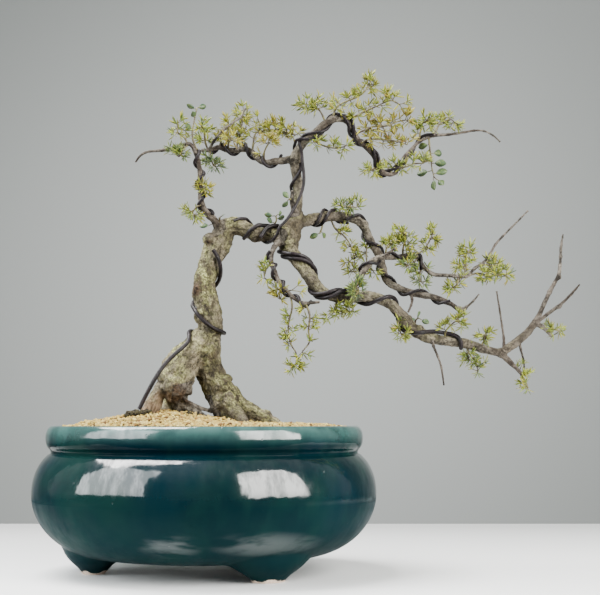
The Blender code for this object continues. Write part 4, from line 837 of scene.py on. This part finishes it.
def any_way(rng):
    return Vector((rng.gauss(0, 1), rng.gauss(0, 1), rng.gauss(0, 1)))


GRAIN_TRIES = 60000
GRAIN_SIZES = (0.0009, 0.0011, 0.0013, 0.0015, 0.0018, 0.0021)
CELL = 0.0024
# How close two grains lie, as a share of their sizes, and how many of them are pale
CROWDING, PALE_SHARE = 0.80, 0.87
rng = random.Random("grains")
grain_kinds = []
for _ in range(9):
    stone = bmesh.new()
    bmesh.ops.create_icosphere(stone, subdivisions=1, radius=1)
    for vert in stone.verts:
        vert.co *= rng.uniform(0.72, 1.12)
    stone.verts.layers.float.new("tone")
    grain_kinds.append(mesh_from(stone, "grain"))
heap = bmesh.new()
heap.verts.layers.float.new("tone")
taken = {}
for _ in range(GRAIN_TRIES):
    # Every draw comes before the tests, so that each grain keeps its own
    reach = 0.1145 * math.sqrt(rng.random())
    turn = rng.uniform(0, 2 * math.pi)
    x, y = POT_X + reach * math.cos(turn), reach * math.sin(turn)
    size = rng.choice(GRAIN_SIZES)
    z = soil_height(x, y) + rng.uniform(-0.0006, 0.0008)
    stone = rng.choice(grain_kinds)
    spin = Matrix.Rotation(rng.uniform(0, 6.28), 4, any_way(rng).normalized())
    shape = Matrix.Diagonal((size * rng.uniform(0.85, 1.25), size, size * rng.uniform(0.65, 0.95), 1))
    kind = rng.random()
    tone = rng.uniform(0, 0.62) if kind < PALE_SHARE else rng.uniform(0.62, 1.0)
    cell = (math.floor(x / CELL), math.floor(y / CELL))
    cells = [(cell[0] + i, cell[1] + j) for i in (-1, 0, 1) for j in (-1, 0, 1)]
    close = [other for near in cells for other in taken.get(near, ())]
    if any(math.hypot(x - ox, y - oy) < (size + other) * CROWDING for ox, oy, other in close):
        continue
    _, index, span = nearest_limb.find(Vector((x, y, z)))
    if span < samples[index][1] * 0.9:
        continue
    taken.setdefault(cell, []).append((x, y, size))
    grain = stone.copy()
    grain.transform(Matrix.Translation((x, y, z)) @ spin @ shape)
    grain.attributes["tone"].data.foreach_set("value", [tone] * len(grain.vertices))
    heap.from_mesh(grain)
    bpy.data.meshes.remove(grain)


def colour_ramp(value, stops):
    """The colour that a value picks from stops, which are pairs of a place and a linear colour."""
    ramp = add_node(value, "ValToRGB", {0: value})
    for index, (place, colour) in enumerate(stops):
        stop = ramp.color_ramp.elements[index] if index < 2 else ramp.color_ramp.elements.new(place)
        stop.position = place
        stop.color = (*colour, 1)
    return ramp.outputs[0]


grain_coat, shader, here = new_material("pale_grains", Roughness=0.9, Specular_IOR_Level=0.25)
tone = colour_ramp(add_node(here, "Attribute", attribute_name="tone").outputs["Fac"], (
    (0.0, (0.41, 0.305, 0.080)), (0.25, (0.34, 0.232, 0.054)), (0.5, (0.50, 0.410, 0.145)),
    (0.62, (0.25, 0.140, 0.034)), (0.8, (0.11, 0.052, 0.017)), (1.0, (0.045, 0.023, 0.010))))
feed(shader, "Base Color", blend(mottle(here, 1500, 0.42, 0.7, 0.7), tone, (0.22, 0.145, 0.062), 0.45))
roughen(shader, texture(here, "Noise", 2600, Detail=3.0), 0.0003, 0.8)
grains = put("soil_grains", mesh_from(heap, "soil_grains"), grain_coat, smooth=False)
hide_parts("soil")

# The mossy lumps. Clods of dark moss and old bark beside the left leg, round the foot of the trunk wire,
# soft and ragged where they grew together on the damp crumb.
def drawn(rng, *spans):
    """A vector of random numbers, one within each span."""
    return Vector([rng.uniform(*span) for span in spans])


rng = random.Random("moss")
LUMPS = (
    (131, 414, -24, 4.6), (137, 413, -27, 5.0), (143, 413, -28, 4.4), (149, 412, -20, 4.2),
    (127, 416, -20, 3.6), (153, 415, -24, 3.2), (118, 421, -30, 2.2), (100, 424, -34, 2.4),
    (190, 414, -22, 3.6), (199, 415, -20, 3.2),
)
clods = bmesh.new()
for column, row, depth, size in LUMPS:
    made = bmesh.ops.create_icosphere(clods, subdivisions=4, radius=size * UNIT)
    offset = drawn(rng, (0, 9), (0, 9), (0, 9))
    for vert in made["verts"]:
        way = vert.co.normalized()
        vert.co *= 1 + 0.28 * noise.noise(way * 2 + offset) + 0.14 * noise.noise(way * 7 + offset)
        vert.co.z *= 0.8
    spot = at(column, row, depth)
    spot.z = min(spot.z, soil_height(spot.x, spot.y) + size * UNIT * 0.6)
    bmesh.ops.translate(clods, verts=made["verts"], vec=spot)
moss, shader, here = new_material("dark_moss", Roughness=0.95, Specular_IOR_Level=0.2)
tone = blend(mottle(here, 420, 0.4, 0.6, 0.7), (0.012, 0.009, 0.006), (0.048, 0.040, 0.018))
feed(shader, "Base Color", blend(mottle(here, 900, 0.58, 0.68, 0.7), tone, (0.11, 0.09, 0.045)))
roughen(shader, texture(here, "Noise", 1500, Detail=5.0), 0.0012, 1.0)
lumps = put("moss_lumps", mesh_from(clods, "moss_lumps"), moss)

# The foliage. Short shoots with side twigs, each twig ending in a star of narrow leaves, fresh yellow-green
# with some amber tips, and a few longer shoots with small round leaves of a cooler green.
# A shoot is its end's depth, where it leaves the wood, its stem's way and the places of its leaf tufts.
SHOOTS = {
    "far_left_upper": (-6, (187, 143), ((182, 136), (178, 129), (175, 123)), ((175, 121), (170, 134),
        (181, 127))),
    "far_left_lower": (-6, (186, 143), ((183, 148), (179, 153), (174, 154)), ((180, 151), (185, 156),
        (173, 150), (166, 143))),
    "left_tall_shoot": (-2, (196, 148), ((193, 136), (191.5, 122), (195, 106)), ((189, 104), (201, 104),
        (192, 113), (187, 124))),
    "left_pad_grey": (6, (207, 148), ((205, 139), (203, 130), (201, 124)), ((197, 128), (203, 121),
        (210, 128), (208, 137), (198, 139))),
    "left_pad_middle": (10, (218, 146), ((222, 137), (226, 128), (229, 120)), ((220, 131), (228, 127),
        (226, 118), (233, 122), (215, 137))),
    "left_pad_tall": (12, (236, 148), ((238, 138), (241, 124), (243, 110)), ((235, 132), (240, 125),
        (247, 119), (242, 111), (248, 104), (250, 129), (244, 139), (234, 113))),
    "left_pad_near": (0, (228, 148), ((229, 142), (233, 136)), ((228, 137), (236, 140), (234, 131))),
    "left_pad_right": (10, (252, 151), ((252, 141), (257, 131), (268, 127), (280, 127), (293, 131)),
        ((255, 118), (256, 110), (263, 124), (268, 117), (275, 122), (282, 118), (288, 124), (295, 121),
        (300, 130), (272, 133), (285, 134))),
    "left_pad_front": (-2, (264, 160), ((265, 149), (270, 140)), ((262, 139), (270, 133), (277, 139))),
    "left_hanging": (8, (209, 149), ((211, 156), (213, 164)), ((206, 158), (216, 158), (210, 168),
        (218, 168))),
    "left_riser_low": (-8, (202, 204), ((197, 207), (191, 212)), ((186, 208), (190, 217), (196, 221),
        (187, 214))),
    "crown_far_left": (-6, (326, 121), ((322, 113), (317, 105), (308, 104)), ((302, 98), (308, 107),
        (314, 98), (320, 95), (326, 103), (299, 104))),
    "crown_top": (-8, (333, 117), ((334, 108), (341, 101), (351, 97), (360, 93), (366, 87), (370, 80)),
        ((343, 109), (337, 96), (347, 91), (353, 103), (360, 87), (366, 79), (372, 73), (378, 81),
        (374, 90))),
    "crown_top_right": (-2, (347, 118), ((356, 112), (367, 107), (379, 101), (391, 98), (402, 100)),
        ((360, 115), (371, 112), (382, 93), (390, 84), (397, 91), (411, 101), (385, 107), (368, 99))),
    "crown_middle": (-4, (356, 132), ((364, 128), (375, 124), (387, 122), (398, 120), (407, 116)),
        ((365, 122), (374, 131), (383, 116), (386, 131), (397, 126), (408, 110), (412, 121), (394, 112))),
    "crown_inner": (2, (361, 141), ((371, 138), (384, 138), (397, 140), (408, 141)), ((371, 133), (383, 144),
        (393, 147), (399, 134), (411, 137))),
    "crown_under": (-8, (311, 134), ((316, 140), (324, 144), (335, 145), (345, 144)), ((318, 136), (311, 142),
        (335, 140), (345, 149), (352, 143))),
    "crown_low": (8, (391, 172), ((395, 166), (405, 166), (414, 163), (424, 160)), ((385, 164), (394, 157),
        (403, 172), (415, 157), (424, 156), (432, 158))),
    "crown_round_leaves": (10, (430, 135), ((431, 145), (432, 156), (433, 167), (436, 177)), ((425, 144),
        (438, 151), (427, 159), (440, 161), (425, 171), (441, 171), (442, 181), (434, 182))),
    "crown_right": (14, (436, 133), ((439, 125), (444, 120), (452, 118)), ((435, 118), (444, 114), (452, 113),
        (458, 122), (461, 126))),
    "crown_shoulder": (8, (420, 140), ((421, 130), (425, 121), (429, 118)), ((420, 124), (425, 113),
        (431, 117), (434, 127), (415, 131))),
    "middle_shoots_left": (-14, (385, 257), ((388, 249), (389, 243)), ((383, 240), (391, 237), (396, 247))),
    "middle_shoots": (-14, (403, 256), ((404, 248), (405, 239), (405, 233)), ((405, 229), (401, 241),
        (410, 246), (416, 244), (412, 235))),
    "middle_shoots_right": (-8, (412, 254), ((421, 252), (428, 245), (432, 237)), ((428, 237), (434, 231),
        (438, 241), (425, 249), (434, 251))),
    "middle_low": (-12, (418, 258), ((412, 262), (407, 267)), ((402, 262), (408, 271), (413, 266))),
    "middle_heart": (-14, (424, 267), ((421, 273), (420, 281)), ((415, 273), (417, 284), (427, 287),
        (430, 266))),
    "far_tufts_top": (-4, (463, 277), ((465, 266), (467, 256), (470, 249)), ((461, 248), (470, 246),
        (463, 256), (475, 254), (453, 262), (459, 268))),
    "far_tufts_right": (-2, (482, 264), ((488, 265), (495, 266)), ((488, 258), (490, 271), (496, 261),
        (500, 269))),
    "far_tufts_tip": (-6, (466, 277), ((479, 274), (492, 275), (503, 275)), ((480, 280), (488, 281),
        (500, 271), (508, 276), (511, 281))),
    "far_tufts_under": (-9, (458, 276), ((458, 283), (451, 289)), ((464, 284), (455, 289), (447, 293))),
    "lower_arm_top": (-4, (444, 340), ((447, 329), (453, 323), (460, 321)), ((438, 328), (445, 322),
        (452, 318), (460, 316), (466, 325))),
    "lower_arm_far": (0, (479, 348), ((482, 341), (485, 335)), ((479, 336), (485, 331), (489, 340))),
    "lower_arm_hanging": (0, (466, 346), ((468, 354), (473, 361), (477, 368)), ((462, 355), (460, 363),
        (475, 359), (480, 365), (477, 376))),
    "lower_arm_left": (-8, (399, 314), ((399, 324), (400, 332)), ((395, 336), (401, 340), (406, 336))),
    "end_drop_leaves": (0, (519, 373), ((523, 379), (525, 387)), ((515, 364), (527, 373), (526, 391))),
    "between_arms": (4, (330, 216), ((335, 227), (343, 234), (350, 243), (353, 257), (354, 271)), ((344, 249),
        (342, 262), (346, 271), (361, 256), (358, 276), (336, 236))),
    "between_arms_right": (4, (369, 236), ((366, 247), (368, 262), (374, 272)), ((363, 254), (371, 271),
        (378, 277))),
    "upper_arm_top": (4, (338, 214), ((341, 206), (348, 204), (355, 206)), ((334, 202), (341, 199),
        (351, 208), (362, 206))),
    "lower_arm_fringe": (-12, (337, 299), ((337, 308), (344, 312), (352, 311)), ((332, 313), (335, 318),
        (346, 314), (352, 306), (356, 313), (325, 321))),
    "hanging_long": (-20, (290, 295), ((291, 309), (289, 325), (291, 341), (295, 352), (297, 361)),
        ((286, 315), (283, 331), (297, 328), (285, 346), (292, 367), (288, 373))),
    "hanging_right": (-21, (305, 303), ((309, 316), (310, 329), (309, 342), (303, 351)), ((301, 309),
        (305, 326), (313, 319), (303, 356))),
    "hanging_top": (-15, (272, 263), ((267, 267), (265, 275)), ((263, 268), (268, 283))),
    "junction_leaves": (-3, (270, 230), ((273, 224), (275, 219), (276, 215)), ((269, 220), (268, 215),
        (281, 217), (281, 212))),
    "left_riser_high": (-8, (200, 191), ((204, 188), (205, 183)), ((204, 183), (205, 194), (202, 189))),
    "crown_low_left": (2, (377, 160), ((374, 165), (373, 170)), ((376, 173), (370, 167))),
    "end_spur_leaves": (9, (548, 333), ((553, 331), (558, 332)), ((549, 326), (557, 327), (560, 335))),
    "upper_arm_under": (2, (322, 217), ((321, 226), (319, 232)), ((316, 234), (325, 235))),
    "hanging_tips": (-18, (281, 285), ((279, 292), (281, 299)), ((276, 291), (283, 300), (305, 292))),
    "riser_leaves": (-8, (292.5, 199), ((290, 199), (289, 199)), ((286, 194), (286, 203))),
    "knuckle_leaf": (-9, (218, 224), ((219, 219), (220, 216)), ((224, 213), (204, 226))),
    "arm_leaflets": (-6, (414, 327), ((416, 322), (418, 319)), ((418, 315), (425, 322), (411, 319))),
    "middle_base": (-20, (355, 286), ((357, 290), (357, 296)), ((353, 283), (361, 285), (356, 291),
        (360, 297), (352, 290))),
}
ROUND_LEAVED = ("left_tall_shoot", "crown_round_leaves", "junction_leaves", "upper_arm_under", "riser_leaves",
                "knuckle_leaf", "arm_leaflets")
# How yellow a shoot's leaves are, from cool green 0 to amber 1
WARMTH = {
    "left_pad_middle": 0.62, "left_pad_tall": 0.5, "left_pad_near": 0.72, "left_pad_right": 0.62,
    "left_pad_front": 0.74, "left_pad_grey": 0.4, "far_left_lower": 0.2, "left_hanging": 0.12,
    "crown_middle": 0.74, "crown_inner": 0.78, "crown_top": 0.55, "crown_top_right": 0.5,
    "hanging_tips": 0.64, "left_riser_high": 0.62, "middle_heart": 0.15, "middle_low": 0.35,
    "upper_arm_top": 0.3, "lower_arm_hanging": 0.3, "between_arms": 0.5, "far_tufts_top": 0.45,
    "middle_base": 0.15,
}
PLAIN_WARMTH = 0.42
LEAVES_IN_TUFT = (7, 10)
NARROW_LENGTHS = (0.0042, 0.0076)
ROUND_LENGTHS = (0.0064, 0.0078)
NARROW_LEAVES = ((0.10, 0.18), (0.22, 0.20), (-0.06, 0.17), (0.32, 0.19))
ROUND_BENDS = (0.06, 0.15, -0.05)


def leaf_mesh(bend, wide, widest):
    """One leaf of unit length along +Z: a folded blade, thin at its edges, that curves towards its face."""
    leaf = bmesh.new()
    bmesh.ops.create_uvsphere(leaf, u_segments=4, v_segments=7, radius=1)
    tint = leaf.verts.layers.float_color.new("leaf_tint")
    for vert in leaf.verts:
        share = ((vert.co.z + 1) / 2) ** 0.9
        body = math.sin(math.pi * share ** widest) ** 0.75 if 0 < share < 1 else 0
        body = max(body, 0.16 * (1 - share)) if share > 0 else 0
        ring = Vector((vert.co.x, vert.co.y))
        ring = ring.normalized() if ring.length > 0.001 else Vector((0, 0))
        across = ring.x * body * wide / 2
        fold = 0.30 * abs(across) + ring.y * (0.012 + 0.03 * body)
        vert.co = Vector((across, fold + bend * share**2, share))
        vert[tint] = (share, 0, 0, 1)
    bmesh.ops.recalc_face_normals(leaf, faces=leaf.faces)
    return mesh_from(leaf, "leaf")


narrow_kinds = [leaf_mesh(bend, wide, 1.15) for bend, wide in NARROW_LEAVES]
round_kinds = [leaf_mesh(bend, 0.64, 1.05) for bend in ROUND_BENDS]


def place_leaf(shaped, kind, root, way, face, length, hue, shade):
    """Adds a copy of a leaf that points along a way and turns its face to a side."""
    across = face.cross(way).normalized()
    leaf = kind.copy()
    turned_to = Matrix((across, way.cross(across), way)).transposed().to_4x4()
    leaf.transform(Matrix.Translation(root) @ turned_to @ Matrix.Scale(length, 4))
    for entry in leaf.attributes["leaf_tint"].data:
        entry.color = (entry.color[0], hue, shade, 1)
    shaped.from_mesh(leaf)
    bpy.data.meshes.remove(leaf)


def nearest_on(points, place):
    """The place on a way that is nearest to a given place, and the way's direction there."""
    best, heading = points[0], points[1] - points[0]
    for a, b in zip(points, points[1:]):
        step = b - a
        share = clamped((place - a).dot(step) / step.length_squared)
        spot = a.lerp(b, share)
        if (spot - place).length < (best - place).length:
            best, heading = spot, step
    return best, heading.normalized()


leaf_coat, shader, here = new_material("leaf", Roughness=0.42, Specular_IOR_Level=0.4)
tinted = add_node(here, "Attribute", attribute_name="leaf_tint").outputs
parts = add_node(here, "SeparateColor", {0: tinted["Color"]}).outputs
along, hue, shade = parts["Red"], parts["Green"], parts["Blue"]
tone = colour_ramp(hue, (
    (0.0, (0.038, 0.080, 0.048)), (0.22, (0.130, 0.205, 0.038)), (0.45, (0.29, 0.35, 0.036)),
    (0.7, (0.37, 0.345, 0.032)), (1.0, (0.27, 0.165, 0.028))))
tone = blend(shade, tone, (0.030, 0.036, 0.009), 0.78)
amber = maths("MULTIPLY", maths("POWER", along, 4.0), maths("MULTIPLY", hue, 0.85))
tone = blend(amber, tone, (0.19, 0.100, 0.020))
tone = blend(mottle(here, 800, 0.45, 0.65), tone, (0.40, 0.42, 0.085), 0.25)
stem_tone = blend(mottle(here, 300), (0.050, 0.034, 0.018), (0.135, 0.120, 0.040))
feed(shader, "Base Color", blend(tinted["Alpha"], stem_tone, tone))
roughen(shader, texture(here, "Noise", 1800, Detail=2.0), 0.0002, 0.5)


def stem_tube(points):
    """A thin stem, marked as no leaf for the material."""
    stem = tube(points, 1)
    tint = stem.verts.layers.float_color.new("leaf_tint")
    for vert in stem.verts:
        vert[tint] = (0, 0, 0, 0)
    return stem


def tuft(shaped, heart, outward, warmth, rng):
    """A star of narrow leaves that spreads from the end of a side twig."""
    count = rng.randint(*LEAVES_IN_TUFT)
    side = outward.orthogonal().normalized()
    other = outward.cross(side)
    for blade in range(count):
        turn = 2 * math.pi * (blade + rng.uniform(-0.3, 0.3)) / count
        lean = rng.uniform(0.30, 1.30)
        aim = outward * math.cos(lean) + (side * math.cos(turn) + other * math.sin(turn)) * math.sin(lean)
        aim += Vector((0, 0, 0.22))
        hue = clamped(rng.gauss(warmth, 0.15))
        place_leaf(shaped, rng.choice(narrow_kinds), heart, aim.normalized(), any_way(rng),
                   rng.uniform(*NARROW_LENGTHS), hue, rng.random() ** 1.4)


def side_twig(shaped, root, radius, lowest, lengths, warmth, rng):
    """A short twig to one side with a tuft at its end."""
    aside = drawn(rng, (-1, 1), (-0.6, 0.6), (lowest, 1)).normalized()
    tip = root + aside * rng.uniform(*lengths)
    take_in(shaped, stem_tube([(root, radius), (tip, 0.00030)]))
    tuft(shaped, tip, aside, warmth, rng)


# Three shoots take a later draw, in which their leaves spread better
DRAWS = {"left_pad_grey": 1, "left_pad_near": 1, "crown_under": 2}
limb_places = [knot for limb in LIMBS + TWIGS for knot in limb]
for name, (end_depth, root, stem, tufts) in SHOOTS.items():
    rng = random.Random(f"{name} {DRAWS.get(name, 0)}")
    root_depth = min(limb_places, key=lambda knot: math.hypot(knot[0] - root[0], knot[1] - root[1]))[2]
    depths = [root_depth + (end_depth - root_depth) * (i + 1) / len(stem) for i in range(len(stem))]
    places = [at(c + rng.uniform(-1, 1) * 1.6, r + rng.uniform(-1, 1) * 1.6, d + rng.uniform(-1, 1))
              for (c, r), d in zip(stem, depths)]
    way = [at(*root, root_depth)] + places
    fine_way = smooth([(place, 0.00075 * (1.15 - 0.6 * i / len(way))) for i, place in enumerate(way)], 5)
    knobbly = [(place, radius * (1.18 if i % 4 == 0 else 1)) for i, (place, radius) in enumerate(fine_way)]
    shoot = stem_tube(knobbly)
    line = [place for place, _ in fine_way]
    is_round = name in ROUND_LEAVED
    warmth = WARMTH.get(name, PLAIN_WARMTH)
    for column, row in tufts:
        nearest = min(range(len(stem)), key=lambda i: math.hypot(stem[i][0] - column, stem[i][1] - row))
        heart = at(column, row, depths[nearest] + rng.uniform(-3, 3))
        on_stem, heading = nearest_on(line[2:], heart)
        outward = heart - on_stem
        reach = outward.length
        outward = outward.normalized() if reach > 0.0003 else heading
        heart = on_stem + outward * max(0.0012, reach - (0.0035 if is_round else 0.0030))
        knee = on_stem.lerp(heart, 0.55) + drawn(rng, (-1, 1), (-1, 1), (0, 1)) * 0.0006
        take_in(shoot, stem_tube([(on_stem, 0.00042), (knee, 0.00038), (heart, 0.00034)]))
        if is_round:
            aim = outward + drawn(rng, (-1, 1), (-1, 1), (-1, 1)) * 0.25
            kind = rng.choice(round_kinds)
            face = Vector((0, -1, 0)) + any_way(rng) * 0.3
            length = rng.uniform(*ROUND_LENGTHS) * (1.35 if name == "crown_round_leaves" else 1)
            place_leaf(shoot, kind, heart, aim.normalized(), face, length, rng.uniform(0.0, 0.08),
                       rng.uniform(0, 0.4))
            continue
        tuft(shoot, heart, outward, warmth, rng)
        # Two more tufts on their own side twigs from the same knee
        for _ in range(2):
            side_twig(shoot, knee, 0.00034, -0.5, (0.0028, 0.0058), warmth, rng)
    # Short spurs with a tuft all along the stem
    for spot in line[4::3]:
        if is_round or rng.random() < 0.35:
            continue
        side_twig(shoot, spot, 0.00036, -0.6, (0.0020, 0.0045), warmth, rng)
    foliage = put("shoot_" + name, mesh_from(shoot, name), leaf_coat)
    if "leaves_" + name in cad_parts:
        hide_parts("leaves_" + name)
